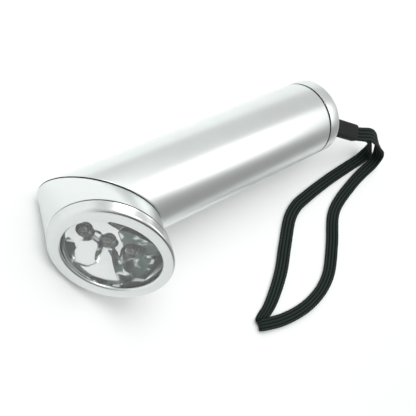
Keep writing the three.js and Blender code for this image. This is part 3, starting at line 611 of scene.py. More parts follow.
TROUGH_SLOPES = (-0.2, 0.13)
FLOOR_EDGE = -1.85
BLOCK_LOW_HALF = (15.5, 15.0)
BLOCK_TOP_HALF = (18.5, 22.1)
SKIRT_TOP = -1.7
SKIRT_HALF = (17.9, 19.2)
SKIRT_WALL = 0.3
SKIRT_LAP = 0.5
MIRROR_SHARP_ANGLE = 18.0
CUT_TOP = SKIRT_TOP + PAST
CUT_LOW = REFLECTOR_LOW - 2 * PAST


def prism(name, corners, height_at, top):
    """A cutter over a polygon, with its underside on a plane."""
    under = [Vector((u, w, height_at(u, w))) for u, w in corners]
    over = [Vector((u, w, top)) for u, w in corners]
    return on_face(name, [under, over])


def tilted(place, tilt, azimuth):
    """Height on a plane through a place, tilted by so many degrees towards an azimuth on the face."""
    u, w, height = place
    fall = math.tan(math.radians(tilt))
    along = math.cos(math.radians(azimuth))
    across = math.sin(math.radians(azimuth))
    return lambda x, y: height - fall * ((x - u) * along + (y - w) * across)


def mirror_opening():
    """A cutter as wide as the mirror is inside its skirt."""
    half = tuple(a - SKIRT_WALL for a in SKIRT_HALF)
    rings = [oval(height, 0.0, half, MIRROR_SIDES) for height in (CUT_LOW, CUT_TOP)]
    return on_face("mirror_opening", rings)


def mirror_block():
    """The tapered block of the mirror and its skirt, before anything is cut into it."""
    taper = [
        oval(REFLECTOR_LOW, SLANT * REFLECTOR_LOW, BLOCK_LOW_HALF, BLOCK_SIDES),
        oval(REFLECTOR_TOP, SLANT * REFLECTOR_TOP, BLOCK_TOP_HALF, BLOCK_SIDES),
    ]
    made = on_face("reflector_mirror", taper)
    heights = (REFLECTOR_TOP - SKIRT_LAP, SKIRT_TOP)
    skirt = [oval(height, 0.0, SKIRT_HALF, MIRROR_SIDES) for height in heights]
    carve(made, on_face("skirt", skirt), "UNION")
    return made


def raised_facet(floor_at):
    """The block that stands on the mirror's floor, with a tilted top."""
    raised_at = tilted(*RAISED_PLANE)
    top = [Vector((u, w, raised_at(u, w))) for u, w in RAISED]
    foot = [Vector((u, w, floor_at(u, w))) for u, w in RAISED_FOOT]
    base = [Vector((u, w, RAISED_FOOT_LOW)) for u, w in RAISED_FOOT]
    return on_face("raised_facet", [base, foot, top])


def reflector():
    """The mirror, cut and joined in the order floor, sunk facets, raised facet, cups."""
    made = mirror_block()
    trough = FLOOR_EDGE + TROUGH_SLOPES[0] * (TROUGH_AT + SKIRT_HALF[1])
    floors = [lambda x, y, slope=slope: trough + slope * (y - TROUGH_AT) for slope in TROUGH_SLOPES]
    reach = 2 * SKIRT_HALF[1]
    square = ((-reach, -reach), (reach, -reach), (reach, reach), (-reach, reach))
    hollow = mirror_opening()
    for floor_at in floors:
        carve(hollow, prism("floor_plane", square, floor_at, CUT_TOP + reach), "INTERSECT")
    carve(made, hollow)
    for corners, plane in SUNK:
        cutter = prism("sunk_facet", corners, tilted(*plane), CUT_TOP)
        carve(cutter, mirror_opening(), "INTERSECT")
        carve(made, cutter)
    carve(made, raised_facet(floors[0]), "UNION")
    for place in LED_PLACES[:2]:
        carve(made, cup(place, (place, 0.0), SMALL_CUP_HALF))
    carve(made, cup(LED_PLACES[2], WIDE_CUP_MIDDLE, WIDE_CUP_HALF, True))
    made.data.shade_smooth()
    made.data.set_sharp_from_angle(angle=math.radians(MIRROR_SHARP_ANGLE))
    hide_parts("reflector")
    return made


def lens_gasket():
    """The thin black ring between the pane and the mirror's rim, wholly under the bezel's lip."""
    heights = (SKIRT_TOP, LENS_LOW)
    insets = (GASKET_WALL, 0.0)
    made = oval_band("lens_gasket_ring", SKIRT_HALF, heights, insets, "head", FACE_WORLD, MIRROR_SIDES)
    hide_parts("lens_gasket")
    return made


def cup(place, middle, half, wide=False):
    """A bowl from the hole under a lamp to an oval at the mirror's front; the wide one is fluted."""
    rings = [oval(REFLECTOR_LOW - PAST, place, (CUP_NECK, CUP_NECK), BOWL_SIDES)]
    for i in range(CUP_STEPS + 1):
        share = i / CUP_STEPS
        bowed = share if wide else math.sqrt(share)
        size = [CUP_NECK + (a - CUP_NECK) * bowed for a in half]
        centre = Vector((place, 0.0, 0.0)).lerp(Vector((*middle, 0.0)), share)
        ring = oval(REFLECTOR_LOW + (FLOOR_EDGE - REFLECTOR_LOW) * share, 0.0, size, BOWL_SIDES)
        if wide:
            ring = [fluted(p, share) for p in ring]
        rings.append([p + centre for p in ring])
    rings.append([p + Vector((0.0, 0.0, CUP_OVER)) for p in rings[-1]])
    return on_face("cup", rings)


def fluted(point, share):
    """The wide bowl's wall swells in and out round the lamp."""
    angle = math.atan2(point.y, point.x)
    swell = 1.0 + FLUTE_SHARE * share * math.cos(FLUTES * angle + FLUTE_TWIST * share)
    return Vector((point.x * swell, point.y * swell, point.z))


def lamp_dome(number, middle):
    """A lamp's clear skin: its flange, its body and a dome that closes in a tip."""
    dome_low = LED_FLANGE_TOP + LED_BODY
    profile = [
        (LED_FLANGE - LED_ROUND, LED_FLANGE_LOW),
        (LED_FLANGE, LED_FLANGE_LOW + LED_ROUND),
        (LED_FLANGE, LED_FLANGE_TOP - LED_ROUND),
        (LED_FLANGE - LED_ROUND, LED_FLANGE_TOP),
        (LED_RADIUS, LED_FLANGE_TOP),
    ]
    for angle in quarter(14)[:-1]:
        profile.append((LED_RADIUS * math.cos(angle), dome_low + LED_RADIUS * math.sin(angle)))
    points, faces = skin(turned_rings(profile, LAMP_SIDES), False)
    tip = len(points)
    points.append(Vector((0.0, 0.0, dome_low + LED_RADIUS)))
    faces.pop()
    last = tip - LAMP_SIDES
    for i in range(LAMP_SIDES):
        faces.append((last + i, last + (i + 1) % LAMP_SIDES, tip))
    return to_object(f"led_{number}_dome", points, faces, "head", middle)


def lamp(number, place):
    """A clear lamp, and the metal cup, leg and phosphor that show through it."""
    middle = FACE_WORLD @ Matrix.Translation((place, 0.0, 0.0))
    skin_piece = lamp_dome(number, middle)
    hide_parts(f"led_{number}")
    inside = []
    for kind, section, count, shift in (
        ("anvil", ANVIL, INSIDE_SIDES, ANVIL_SHIFT),
        ("post", POST, POST_SIDES, POST_SHIFT),
        ("phosphor", PHOSPHOR, INSIDE_SIDES, ANVIL_SHIFT),
    ):
        rings = turned_rings([(radius, LED_BASE + height) for radius, height in section], count)
        beside = middle @ Matrix.Translation((shift, 0.0, 0.0))
        inside.append(to_object(f"led_{number}_{kind}", *skin(rings, False), "head", beside))
    return skin_piece, *inside


def switch_button():
    """The push button: a turned form that is closed on the axis, with a dished top."""
    top = CAP_END + BUTTON_PROUD
    flange_low, flange_high = BUTTON_FLANGE_HEIGHTS
    profile = [
        (BUTTON_STEM, BUTTON_STEM_LOW),
        (BUTTON_STEM, flange_low),
        (BUTTON_FLANGE, flange_low),
        (BUTTON_FLANGE, flange_high),
        (BUTTON_RADIUS, flange_high),
        (BUTTON_RADIUS, top - BUTTON_ROUND - 0.1),
    ]
    for angle in quarter(6)[1:]:
        radius = BUTTON_RADIUS - BUTTON_ROUND * (1 - math.cos(angle))
        profile.append((radius, top - BUTTON_ROUND + BUTTON_ROUND * math.sin(angle)))
    dish_steps = 10
    for i in range(1, dish_steps):
        share = i / dish_steps
        dip = BUTTON_DISH * math.sin(math.pi / 2 * min(1.0, share * DISH_STEEPNESS))
        profile.append(((BUTTON_RADIUS - BUTTON_ROUND) * (1 - share), top - dip))
    points, faces = skin(turned_rings(profile, BUTTON_SIDES), False)
    made = to_object("switch_button_skin", points, faces, "button", TUBE_WORLD)
    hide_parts("switch_button")
    return made


def rounded_outline(half_width, half_height, corner, steps=6):
    """A rounded rectangle as points counterclockwise about its middle."""
    points = []
    for k, (sx, sy) in enumerate(((1, 1), (-1, 1), (-1, -1), (1, -1))):
        for i in range(steps + 1):
            angle = math.pi / 2 * (k + i / steps)
            x = sx * (half_width - corner) + corner * math.cos(angle)
            y = sy * (half_height - corner) + corner * math.sin(angle)
            points.append((x, y))
    return points


def sleeve_section(x, half_width, half_height, corner):
    """A rounded rectangle across the sleeve at one place along it."""
    return [Vector((x, y, z)) for y, z in rounded_outline(half_width, half_height, corner)]


def strap_sleeve():
    """The moulded sleeve, with rounded ends and a slot at its mouth where the strap comes out."""
    least_corner = 0.2
    far_share = 0.8

    def outer(x, inset):
        half_width = SLEEVE_WIDTH / 2 - inset
        half_height = SLEEVE_THICKNESS / 2 - inset
        return sleeve_section(x, half_width, half_height, max(SLEEVE_CORNER - inset, least_corner))

    base = CLEARANCE
    tip = SLEEVE_LENGTH
    rings = []
    for angle in quarter(CORNER_STEPS):
        rings.append(outer(base + SLEEVE_ROUND * (1 - math.cos(angle)), SLEEVE_ROUND * (1 - math.sin(angle))))
    for i in range(1, 12):
        rings.append(outer(base + SLEEVE_ROUND + (tip - base - 2 * SLEEVE_ROUND) * i / 12, 0.0))
    for angle in quarter(CORNER_STEPS):
        inset = SLEEVE_ROUND * (1 - math.cos(angle)) * far_share
        rings.append(outer(tip - SLEEVE_ROUND + SLEEVE_ROUND * math.sin(angle), inset))
    slot = (STRAP_WIDTH / 2 + CLEARANCE, STRAP_THICKNESS + CLEARANCE * 1.5, SLOT_CORNER)
    rings.append(sleeve_section(tip, *slot))
    rings.append(sleeve_section(tip - SLEEVE_MOUTH, *slot))
    made = to_object("strap_sleeve_skin", *skin(rings, False), "body", SLEEVE)
    stud_frame = SLEEVE @ Matrix.Rotation(-SLEEVE_YAW, 4, "Z") @ ALONG_TUBE
    carve(made, round_bar(SOCKET_RADIUS, -PAST, SOCKET_DEPTH, stud_frame, count=INSIDE_SIDES))
    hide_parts("strap_sleeve")
    return made


# The strap's loop along the solid's own points: x, y, z, the way its width faces and how far that side dips
STRAP_ROUTE = (
    (71.5, -2.7, 22.49, 63, 0),
    (75.2, -4.6, 22.49, 63, 0),
    (86.2, -8.7, 20.1, 63, 0),
    (92.3, -12.1, 16.5, 65, 0),
    (98.3, -15.8, 12, 70, 0),
    (102.4, -19.4, 7.5, 82, -5),
    (103.6, -22, 3.8, 94, -9),
    (101.6, -23.6, 1.5, 97, -4),
    (97.1, -24.3, 0.68, 95, 0),
    (78, -25.6, 0.87, 95, -4),
    (60.1, -27.7, 1.38, 98, -15),
    (52.5, -29.1, 1.77, 109, -24),
    (46.7, -32.4, 2.07, 129, -32),
    (39.8, -42.1, 2.34, 148, -40),
    (33.8, -51.7, 2.4, 146, -42),
    (25.5, -61, 1.92, 133, -28),
    (21.6, -64.4, 1.25, 126, -12),
    (18.7, -66, 0.72, 123, -3),
    (16.4, -67.4, 0.7, 115, 0),
    (15.2, -68.1, 1.45, 100, 0),
    (16.4, -68.5, 2.2, 86, 0),
    (19.6, -69.5, 2.15, 80, -2),
    (29.4, -72.2, 1.5, 80, -12),
    (40.7, -73.2, 1.6, 90, -20),
    (49.3, -72.3, 1.92, 103, -28),
    (57.4, -69.4, 2.21, 118, -36),
    (63.4, -64.7, 2.37, 143, -41),
    (69.6, -53.2, 2.4, 154, -42),
    (74.6, -41.7, 2.07, 142, -32),
    (79.3, -37.9, 1.77, 115, -24),
    (95.6, -32.1, 1.29, 108, -13),
    (103.4, -30.2, 1.3, 109, -11),
    (110.1, -27.9, 2.6, 123, -23),
    (111.2, -25.3, 4.8, 127, -30),
    (107.8, -21.2, 9, 112, -25),
    (100.9, -16.3, 14, 87, -10),
    (92.7, -11.5, 19, 69, 0),
    (85, -7.8, 22.6, 65, 0),
    (75.2, -4.6, 23.99, 63, 0),
    (71.5, -2.7, 23.99, 63, 0),
)


def through(before, a, b, after, share):
    """A point between a and b on the smooth curve through four points, its knots at the root of each step."""
    step = lambda p, q: max(math.sqrt((q - p).length), 1e-4)
    first, second, third = step(before, a), step(a, b), step(b, after)
    leave = ((a - before) / first - (b - before) / (first + second) + (b - a) / second) * second
    arrive = ((b - a) / second - (after - a) / (second + third) + (after - b) / third) * second
    cube = share**3
    square = share**2
    return (
        a * (2 * cube - 3 * square + 1)
        + leave * (cube - 2 * square + share)
        + b * (3 * square - 2 * cube)
        + arrive * (cube - square)
    )


def between(first, second, share):
    """Rows of a place and two angles, blended."""
    return [a + (b - a) * share for a, b in zip(first, second)]


def strap_line():
    """Evenly spaced places along the strap: the point, the way onward, across and up."""
    points = [Vector(row[:3]) for row in STRAP_ROUTE]
    ends = [points[0] * 2 - points[1], *points, points[-1] * 2 - points[-2]]
    steps = 40
    fine = []
    for i in range(len(points) - 1):
        for k in range(steps):
            share = k / steps
            place = through(ends[i], ends[i + 1], ends[i + 2], ends[i + 3], share)
            fine.append((place, *between(STRAP_ROUTE[i][3:], STRAP_ROUTE[i + 1][3:], share)))
    fine.append((points[-1], *STRAP_ROUTE[-1][3:]))
    far = [0.0]
    for a, b in zip(fine, fine[1:]):
        far.append(far[-1] + (b[0] - a[0]).length)
    count = round(far[-1] / STRAP_SPACING)
    places = []
    k = 0
    for n in range(count + 1):
        goal = far[-1] * n / count
        while k < len(far) - 2 and far[k + 1] < goal:
            k += 1
        share = (goal - far[k]) / (far[k + 1] - far[k])
        place, facing, dip = between(fine[k], fine[k + 1], share)
        onward = (fine[k + 1][0] - fine[k][0]).normalized()
        facing = math.radians(facing)
        dip = math.radians(dip)
        side = Vector((math.cos(dip) * math.cos(facing), math.cos(dip) * math.sin(facing), math.sin(dip)))
        side = (side - onward * side.dot(onward)).normalized()
        places.append((place, onward, side, onward.cross(side)))
    return places, far[-1]


def flat_outline(count):
    """A flat band's section as shares of its half width and half thickness, evenly spread over both faces."""
    top = [(1.0 - 2.0 * i / count, 1.0) for i in range(1, count)]
    ends = [(0.975, 0.75), (0.995, 0.4), (1.0, 0.0)]
    left = [(-x, y) for x, y in ends]
    upper = top + left
    return upper + [(-x, -y) for x, y in upper]


def weave(x, along):
    """How high a point stands on its rib and on its strand, both from 0 to 1."""
    across = STRAP_RIBS * (x + 1) / 2
    rib = abs(math.sin(math.pi * across))
    lean = 1.0 if math.floor(across) % 2 == 0 else -1.0
    strand = abs(math.sin(math.pi * (along / STRAND_PITCH + lean * (across % 1.0) * STRAND_LEAN)))
    return rib, strand


def wrist_strap():
    """A flat braid: four soft ribs run along it, and its strands cross them in a slanted weave."""
    places, length = strap_line()
    half_width = STRAP_WIDTH / 2
    half_thick = STRAP_THICKNESS / 2
    flat, ribbed, stranded = BRAID_HEIGHTS
    outline = flat_outline(8 * STRAP_RIBS)
    around = len(outline)
    points = []
    painted_shade_shares = []
    for n, (place, onward, side, up) in enumerate(places):
        along = length * n / (len(places) - 1)
        for x, y in outline:
            rib, strand = weave(x, along)
            soft_strand = strand**BRAID_ROUNDNESS
            out = x * half_width * (1.0 - STRAND_PINCH + STRAND_PINCH * strand)
            proud = flat + ribbed * rib**BRAID_ROUNDNESS + stranded * soft_strand
            points.append(place + side * out + up * (y * half_thick * proud))
            # Painted shade for the braid: 0 deep in the grooves, up to 1 on the crests
            painted_shade_shares.append(rib**BRAID_SHADE_POWER * (1.0 + soft_strand) / 2)
    rings = [points[i : i + around] for i in range(0, len(points), around)]
    points, faces = skin(rings, False)
    made = to_object("wrist_strap_braid", points, faces, "body", None, painted_shade_shares, BRAID_SMOOTH_ANGLE)
    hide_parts("wrist_strap")
    return made


# Materials: noise scales are in features per metre, and bump distances in metres
SATIN_CLOUD = 70.0
PLASTIC_CLOUD = 120.0
METAL_CLOUD = 160.0


def new_material(name, colour, metallic, roughness, **others):
    """A material whose further sockets are named with underscores for spaces."""
    made = bpy.data.materials.new(name)
    made.use_nodes = True
    shader = made.node_tree.nodes["Principled BSDF"]
    shader.inputs["Base Color"].default_value = (*colour, 1.0)
    shader.inputs["Metallic"].default_value = metallic
    shader.inputs["Roughness"].default_value = roughness
    for socket, value in others.items():
        shader.inputs[socket.replace("_", " ")].default_value = value
    return made


def noise(material, scale, stretch=(1.0, 1.0, 1.0), detail=3.0, roughness=0.6):
    """A noise in the model's own axes, in features per metre, drawn out along any axis."""
    nodes = material.node_tree.nodes
    links = material.node_tree.links
    place = nodes.new("ShaderNodeTexCoord")
    mapping = nodes.new("ShaderNodeMapping")
    mapping.inputs["Scale"].default_value = stretch
    links.new(place.outputs["Object"], mapping.inputs["Vector"])
    made = nodes.new("ShaderNodeTexNoise")
    made.inputs["Scale"].default_value = scale
    made.inputs["Detail"].default_value = detail
    made.inputs["Roughness"].default_value = roughness
    links.new(mapping.outputs["Vector"], made.inputs["Vector"])
    return made.outputs["Fac"]


def spread(owner, source, low, high, start=0.3, end=0.7, kind="LINEAR"):
    """A value between low and high as the source goes from start to end."""
    made = owner.node_tree.nodes.new("ShaderNodeMapRange")
    made.interpolation_type = kind
    for socket, value in (("From Min", start), ("From Max", end), ("To Min", low), ("To Max", high)):
        made.inputs[socket].default_value = value
    owner.node_tree.links.new(source, made.inputs["Value"])
    return made.outputs["Result"]


def arithmetic(owner, operation, *inputs):
    """One step of arithmetic on values or sources."""
    made = owner.node_tree.nodes.new("ShaderNodeMath")
    made.operation = operation
    for socket, given in zip(made.inputs, inputs):
        if isinstance(given, (int, float)):
            socket.default_value = given
        else:
            owner.node_tree.links.new(given, socket)
    return made.outputs[0]


def how_far(owner, coordinate, direction):
    """How far a place or a line of sight reaches along a direction."""
    place = owner.node_tree.nodes.new("ShaderNodeTexCoord")
    made = owner.node_tree.nodes.new("ShaderNodeVectorMath")
    made.operation = "DOT_PRODUCT"
    made.inputs[1].default_value = direction
    owner.node_tree.links.new(place.outputs[coordinate], made.inputs[0])
    return made.outputs["Value"]


def blend_colours(material, share, first, second):
    """The first colour or source where the share is 0, the second where it is 1."""
    nodes = material.node_tree.nodes
    made = nodes.new("ShaderNodeMix")
    made.data_type = "RGBA"
    links = material.node_tree.links
    links.new(share, made.inputs["Factor"])
    for socket, colour in (("A", first), ("B", second)):
        target = [i for i in made.inputs if i.name == socket and i.type == "RGBA"][0]
        if isinstance(colour, tuple):
            target.default_value = (*colour, 1.0)
        else:
            links.new(colour, target)
    return [o for o in made.outputs if o.type == "RGBA"][0]


def shaded(colour, factor):
    return tuple(min(1.0, c * factor) for c in colour)


def edge_wear_and_painted_shade(material):
    """The value that a mesh holds at each point: on the metal its nearness to an edge, for wear, and on the
    braid how far a point stands from the painted shade of its grooves.
    """
    made = material.node_tree.nodes.new("ShaderNodeAttribute")
    made.attribute_name = "edge"
    return made.outputs["Fac"]


def to_shader(material, socket, source):
    shader = material.node_tree.nodes["Principled BSDF"]
    material.node_tree.links.new(source, shader.inputs[socket])


def bumps(material, height, strength, distance):
    nodes = material.node_tree.nodes
    made = nodes.new("ShaderNodeBump")
    made.inputs["Strength"].default_value = strength
    made.inputs["Distance"].default_value = distance
    material.node_tree.links.new(height, made.inputs["Height"])
    to_shader(material, "Normal", made.outputs["Normal"])


def clouded(material, scale, dark, light):
    """A tone that drifts slowly between two colours."""
    cloud = noise(material, scale, detail=2.0)
    return blend_colours(material, spread(material, cloud, 0.0, 1.0), dark, light)


def satin_metal(name, colour, roughness, stretch, scale):
    """Anodised aluminium: a fine grain, a faint cloud in its tone and brighter edges."""
    made = new_material(name, colour, 1.0, roughness)
    grain = noise(made, scale, stretch, detail=1.0)
    tone = clouded(made, SATIN_CLOUD, shaded(colour, 0.965), colour)
    worn = spread(made, edge_wear_and_painted_shade(made), low=0.0, high=0.6, start=0.2, end=1.0)
    tone = blend_colours(made, worn, tone, shaded(colour, 1.08))
    to_shader(made, "Base Color", tone)
    to_shader(made, "Roughness", spread(made, grain, roughness - 0.02, roughness + 0.025))
    bumps(made, grain, strength=0.02, distance=0.00002)
    return made


def plastic(name, colour, roughness, grain=2500.0, depth=0.00003, varied=0.12, strength=0.25):
    made = new_material(name, colour, 0.0, roughness)
    fine = noise(made, grain)
    tone = clouded(made, PLASTIC_CLOUD, shaded(colour, 1 - varied), shaded(colour, 1 + varied))
    to_shader(made, "Base Color", tone)
    to_shader(made, "Roughness", spread(made, fine, roughness - 0.06, roughness + 0.06))
    bumps(made, fine, strength, depth)
    return made


def plain_metal(name, colour, roughness, stretch=(1.0, 1.0, 1.0), scale=1800.0):
    made = new_material(name, colour, 1.0, roughness)
    fine = noise(made, scale, stretch)
    to_shader(made, "Base Color", clouded(made, METAL_CLOUD, shaded(colour, 0.88), colour))
    to_shader(made, "Roughness", spread(made, fine, roughness - 0.06, roughness + 0.08))
    bumps(made, fine, strength=0.1, distance=0.00002)
    return made


def braid_material():
    """Black thread with painted shade that darkens it in the grooves between ribs and strands."""
    # The groove tone is painted shade; crest and fibre are the thread's own tones
    groove = (0.001, 0.0016, 0.0014)
    crest = (0.024, 0.037, 0.032)
    fibre = (0.022, 0.033, 0.029)
    made = new_material("braid_weave", (0.016, 0.024, 0.021), 0.0, 0.72, Specular_IOR_Level=0.1)
    thread = noise(made, 5200.0, detail=2.0)
    raised = spread(made, edge_wear_and_painted_shade(made), low=0.0, high=1.0, start=0.3, end=1.0)
    tone = blend_colours(made, raised, groove, crest)
    tone = blend_colours(made, spread(made, thread, 0.0, 0.3), tone, fibre)
    to_shader(made, "Base Color", tone)
    to_shader(made, "Roughness", spread(made, thread, 0.6, 0.8))
    bumps(made, thread, strength=0.4, distance=0.00006)
    return made


def clear_material():
    """The pane: faintly tinted and mostly see-through."""
    made = new_material("clear_pane", (0.95, 0.97, 0.97), 0.0, 0.02, Alpha=0.1)
    faint = noise(made, 300.0, detail=1.0)
    to_shader(made, "Base Color", blend_colours(made, faint, (0.93, 0.96, 0.96), (0.97, 0.98, 0.98)))
    made.surface_render_method = "BLENDED"
    return made


def lamp_material():
    """The lamps' resin, which bends the light that goes through it; its dark green tint is painted shade for
    the dark room seen through the domes.
    """
    made = new_material("clear_lamp", (0.38, 0.45, 0.4), 0.0, 0.03, IOR=1.5, Transmission_Weight=1.0)
    faint = noise(made, 400.0, detail=1.0)
    to_shader(made, "Base Color", blend_colours(made, faint, (0.34, 0.41, 0.37), (0.42, 0.48, 0.44)))
    return made


# Painted reflection on the mirror, dark with painted light streaks: the middle on its face, the turn and the
# half sizes of each oval
PAINTED_REFLECTION_HEIGHT = -4.0
PAINTED_REFLECTION_OVALS = (
    ((8.1, 2.6), 2.02, (13.6, 7.0)),
    ((4.9, -8.6), -0.97, (9.5, 1.4)),
    ((12.4, -11.9), 0.74, (4.9, 3.4)),
    ((-11.5, -10.7), -1.03, (5.1, 1.8)),
    ((-3.4, -5.1), -1.38, (4.0, 0.9)),
    ((3.0, -18.2), 0.17, (4.2, 1.6)),
)
PAINTED_REFLECTION_TONES = ((0.06, 0.095, 0.079), (0.72, 0.78, 0.74))
BRIGHT_TONES = ((0.82, 0.84, 0.84), (0.9, 0.91, 0.91))


def in_oval(material, middle, turn, half, wobble):
    """How far out a point lies in an oval drawn on the mirror: under 1 inside it."""
    centre = FACE_WORLD @ Vector((*middle, PAINTED_REFLECTION_HEIGHT))
    squares = []
    for angle, reach in zip((turn, turn + math.pi / 2), half):
        axis = FACE_WORLD.to_3x3() @ Vector((math.cos(angle), math.sin(angle), 0.0)) / reach
        along = how_far(material, "Object", axis / MM)
        shifted = arithmetic(material, "SUBTRACT", along, axis.dot(centre))
        squares.append(arithmetic(material, "MULTIPLY", shifted, shifted))
    far = arithmetic(material, "SQRT", arithmetic(material, "ADD", *squares))
    return arithmetic(material, "ADD", far, wobble)


def chrome_material():
    """Bright plating with a faint haze, and painted reflection where the photo's mirror shows a dark room:
    dark ovals, rippled with painted light streaks.
    """
    made = new_material("mirror_chrome", (0.86, 0.88, 0.88), 1.0, 0.06)
    haze = noise(made, 220.0, detail=2.0)
    ripple = noise(made, 260.0, stretch=(1.0, 1.7, 1.0), detail=1.0, roughness=0.4)
    # The painted reflection: dark, with painted light streaks along the ripples
    painted_reflection = blend_colours(made, spread(made, ripple, 0.0, 1.0, start=0.53, end=0.66), *PAINTED_REFLECTION_TONES)
    wobble = spread(made, noise(made, 150.0, detail=0.0), low=-0.16, high=0.16, start=0.2, end=0.8)
    # Ovals where the painted reflection lies on the mirror
    nearest = 2.0
    for one in PAINTED_REFLECTION_OVALS:
        nearest = arithmetic(made, "MINIMUM", in_oval(made, *one, wobble), nearest)
    within = spread(made, nearest, low=1.0, high=0.0, start=0.98, end=1.02)
    bright = blend_colours(made, haze, *BRIGHT_TONES)
    to_shader(made, "Base Color", blend_colours(made, within, bright, painted_reflection))
    to_shader(made, "Roughness", spread(made, haze, 0.035, 0.09))
    bumps(made, arithmetic(made, "MULTIPLY", ripple, within), strength=0.35, distance=0.001)
    return made


def wear(piece, material):
    """Gives a piece one material in place of what it had."""
    piece.data.materials.clear()
    piece.data.materials.append(material)
    return piece


# Finishes
ALUMINIUM = (0.77, 0.80, 0.79)
SHADED_ALUMINIUM = (0.70, 0.725, 0.715)
EVEN = (1.0, 1.0, 1.0)
turned_satin = satin_metal("satin_tube", ALUMINIUM, roughness=0.34, stretch=(1.0, 0.3, 0.3), scale=9000.0)
cast_satin = satin_metal("satin_head", ALUMINIUM, roughness=0.3, stretch=EVEN, scale=7000.0)
face_satin = satin_metal("satin_bezel", SHADED_ALUMINIUM, roughness=0.28, stretch=EVEN, scale=7000.0)
steel = plain_metal("plate_steel", (0.56, 0.57, 0.58), roughness=0.32)
brass = plain_metal("turned_brass", (0.66, 0.46, 0.17), roughness=0.3)
copper = plain_metal("wound_copper", (0.6, 0.28, 0.12), roughness=0.34, stretch=(0.2, 1.0, 1.0), scale=5200.0)
magnet = plain_metal("sintered_magnet", (0.1, 0.1, 0.11), roughness=0.5)
nylon = plastic("moulded_nylon", (0.76, 0.74, 0.66), roughness=0.48, grain=1500.0)
board = plastic("green_board", (0.025, 0.15, 0.06), roughness=0.4, grain=900.0)
jacket = plastic("cell_jacket", (0.12, 0.28, 0.11), roughness=0.32, grain=600.0)
glow = plastic("phosphor", (0.42, 0.36, 0.14), roughness=0.6, grain=2600.0)
rubber = plastic(
    "black_rubber",
    (0.0085, 0.0115, 0.0105),
    roughness=0.66,
    grain=3800.0,
    depth=0.00005,
    varied=0.2,
    strength=0.35,
)
rubber.node_tree.nodes["Principled BSDF"].inputs["Specular IOR Level"].default_value = 0.25
clear = clear_material()
clear_lamp = lamp_material()
chrome = chrome_material()
braid = braid_material()

FINISH_OF_SLOT = {
    "silver": cast_satin,
    "steel": steel,
    "brass": brass,
    "chrome": chrome,
    "clear": clear,
    "led": clear_lamp,
    "rubber": rubber,
    "braid": braid,
    "nylon": nylon,
    "board": board,
    "copper": copper,
    "magnet": magnet,
    "cell": jacket,
}
for part in frame["record"]["subparts"]:
    wear(NODES[part["node"]], FINISH_OF_SLOT[part["material_slot"]])

# Build the pieces
dressed = [
    (wrist_strap(), braid, "braid"),
    (body_tube(), turned_satin, "silver"),
    (tail_cap(), turned_satin, "silver"),
    (switch_button(), turned_satin, "silver"),
    (head_shell(), cast_satin, "silver"),
    (bezel_ring(), face_satin, "silver"),
    (lens(), clear, "clear"),
    (reflector(), chrome, "chrome"),
    (strap_sleeve(), rubber, "rubber"),
    # These three black rings in the seams are painted shade
    (cap_seam(), rubber, "rubber"),
    (swivel_seam(), rubber, "rubber"),
    (bezel_seam(), rubber, "rubber"),
    (lens_gasket(), rubber, "rubber"),
]
for number, place in enumerate(LED_PLACES, 1):
    dome, anvil, post, spot = lamp(number, place)
    dressed += [(dome, clear_lamp, "led"), (spot, glow, "led")]
    dressed += [(anvil, steel, "steel"), (post, steel, "steel")]
for made, material, name in dressed:
    wear(made, material)


# Floor, world and lights
FLOOR_REACH = 6.0
FLOOR_COLOUR = (0.848, 0.866, 0.859)
FLOOR_GLOW = 0.06
ROOM_LEAN = (-0.3, 0.88, 0.3)
ROOM_DARK = 0.41
ROOM_LIGHT = 0.95
DARK_SIDE = (-0.6, -0.75, 0.25)
DARK_SHARE = 0.08
LIGHT_AIM = Vector((0.0, 0.0, 0.02))
SOFTBOXES = (
    ("overhead", (0.68, -0.06, 1.04), (1.0, 0.7), 3.5),
    ("key", (-0.3, 0.58, 0.82), (0.6, 0.6), 7.4),
)


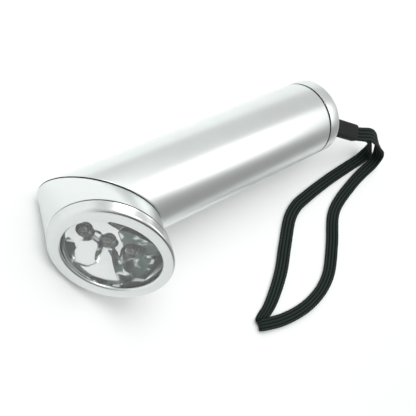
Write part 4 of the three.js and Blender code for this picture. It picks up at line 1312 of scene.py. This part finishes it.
def floor():
    """A wide white floor that glows a little to the camera and in reflections."""
    mesh = bpy.data.meshes.new("floor")
    corners = [(x * FLOOR_REACH, y * FLOOR_REACH, 0) for x, y in ((-1, -1), (1, -1), (1, 1), (-1, 1))]
    mesh.from_pydata(corners, [], [(0, 1, 2, 3)])
    made = add_object("floor", mesh)
    material = new_material("white_floor", FLOOR_COLOUR, 0.0, 0.9, Specular_IOR_Level=0.0)
    tree = material.node_tree
    tree.nodes["Principled BSDF"].inputs["Emission Color"].default_value = (1.0, 1.0, 1.0, 1.0)
    seen = tree.nodes.new("ShaderNodeLightPath")
    rays = [seen.outputs[f"Is {kind} Ray"] for kind in ("Camera", "Glossy", "Transmission")]
    any_of = arithmetic(material, "MAXIMUM", arithmetic(material, "MAXIMUM", *rays[:2]), rays[2])
    to_shader(material, "Emission Strength", arithmetic(material, "MULTIPLY", any_of, FLOOR_GLOW))
    made.data.materials.append(material)


def world():
    """White to the camera, and a soft room for light and gloss: pale towards +Y, dark low towards -Y."""
    made = bpy.data.worlds.new("room")
    bpy.context.scene.world = made
    made.use_nodes = True
    nodes = made.node_tree.nodes
    links = made.node_tree.links
    nodes.clear()

    def slope(direction, low, high, start, end):
        return spread(made, how_far(made, "Generated", direction), low, high, start, end, "SMOOTHSTEP")

    paler = slope(ROOM_LEAN, ROOM_DARK, ROOM_LIGHT, start=-0.9, end=0.9)
    darker = slope(DARK_SIDE, 1.0, DARK_SHARE, start=0.72, end=0.84)
    room = nodes.new("ShaderNodeBackground")
    links.new(arithmetic(made, "MULTIPLY", paler, darker), room.inputs["Strength"])
    white = nodes.new("ShaderNodeBackground")
    seen = nodes.new("ShaderNodeLightPath")
    mix = nodes.new("ShaderNodeMixShader")
    links.new(seen.outputs["Is Camera Ray"], mix.inputs["Fac"])
    links.new(room.outputs[0], mix.inputs[1])
    links.new(white.outputs[0], mix.inputs[2])
    out = nodes.new("ShaderNodeOutputWorld")
    links.new(mix.outputs[0], out.inputs["Surface"])


def softbox(name, place, size, power):
    """A soft rectangular light that looks at the middle of the torch."""
    data = bpy.data.lights.new(name, "AREA")
    data.shape = "RECTANGLE"
    data.size, data.size_y = size
    data.energy = power
    made = add_object(name, data)
    made.location = place
    made.rotation_mode = "QUATERNION"
    made.rotation_quaternion = (LIGHT_AIM - Vector(place)).to_track_quat("-Z", "Y")


floor()
world()
for row in SOFTBOXES:
    softbox(*row)

bpy.context.scene.view_settings.view_transform = "Standard"
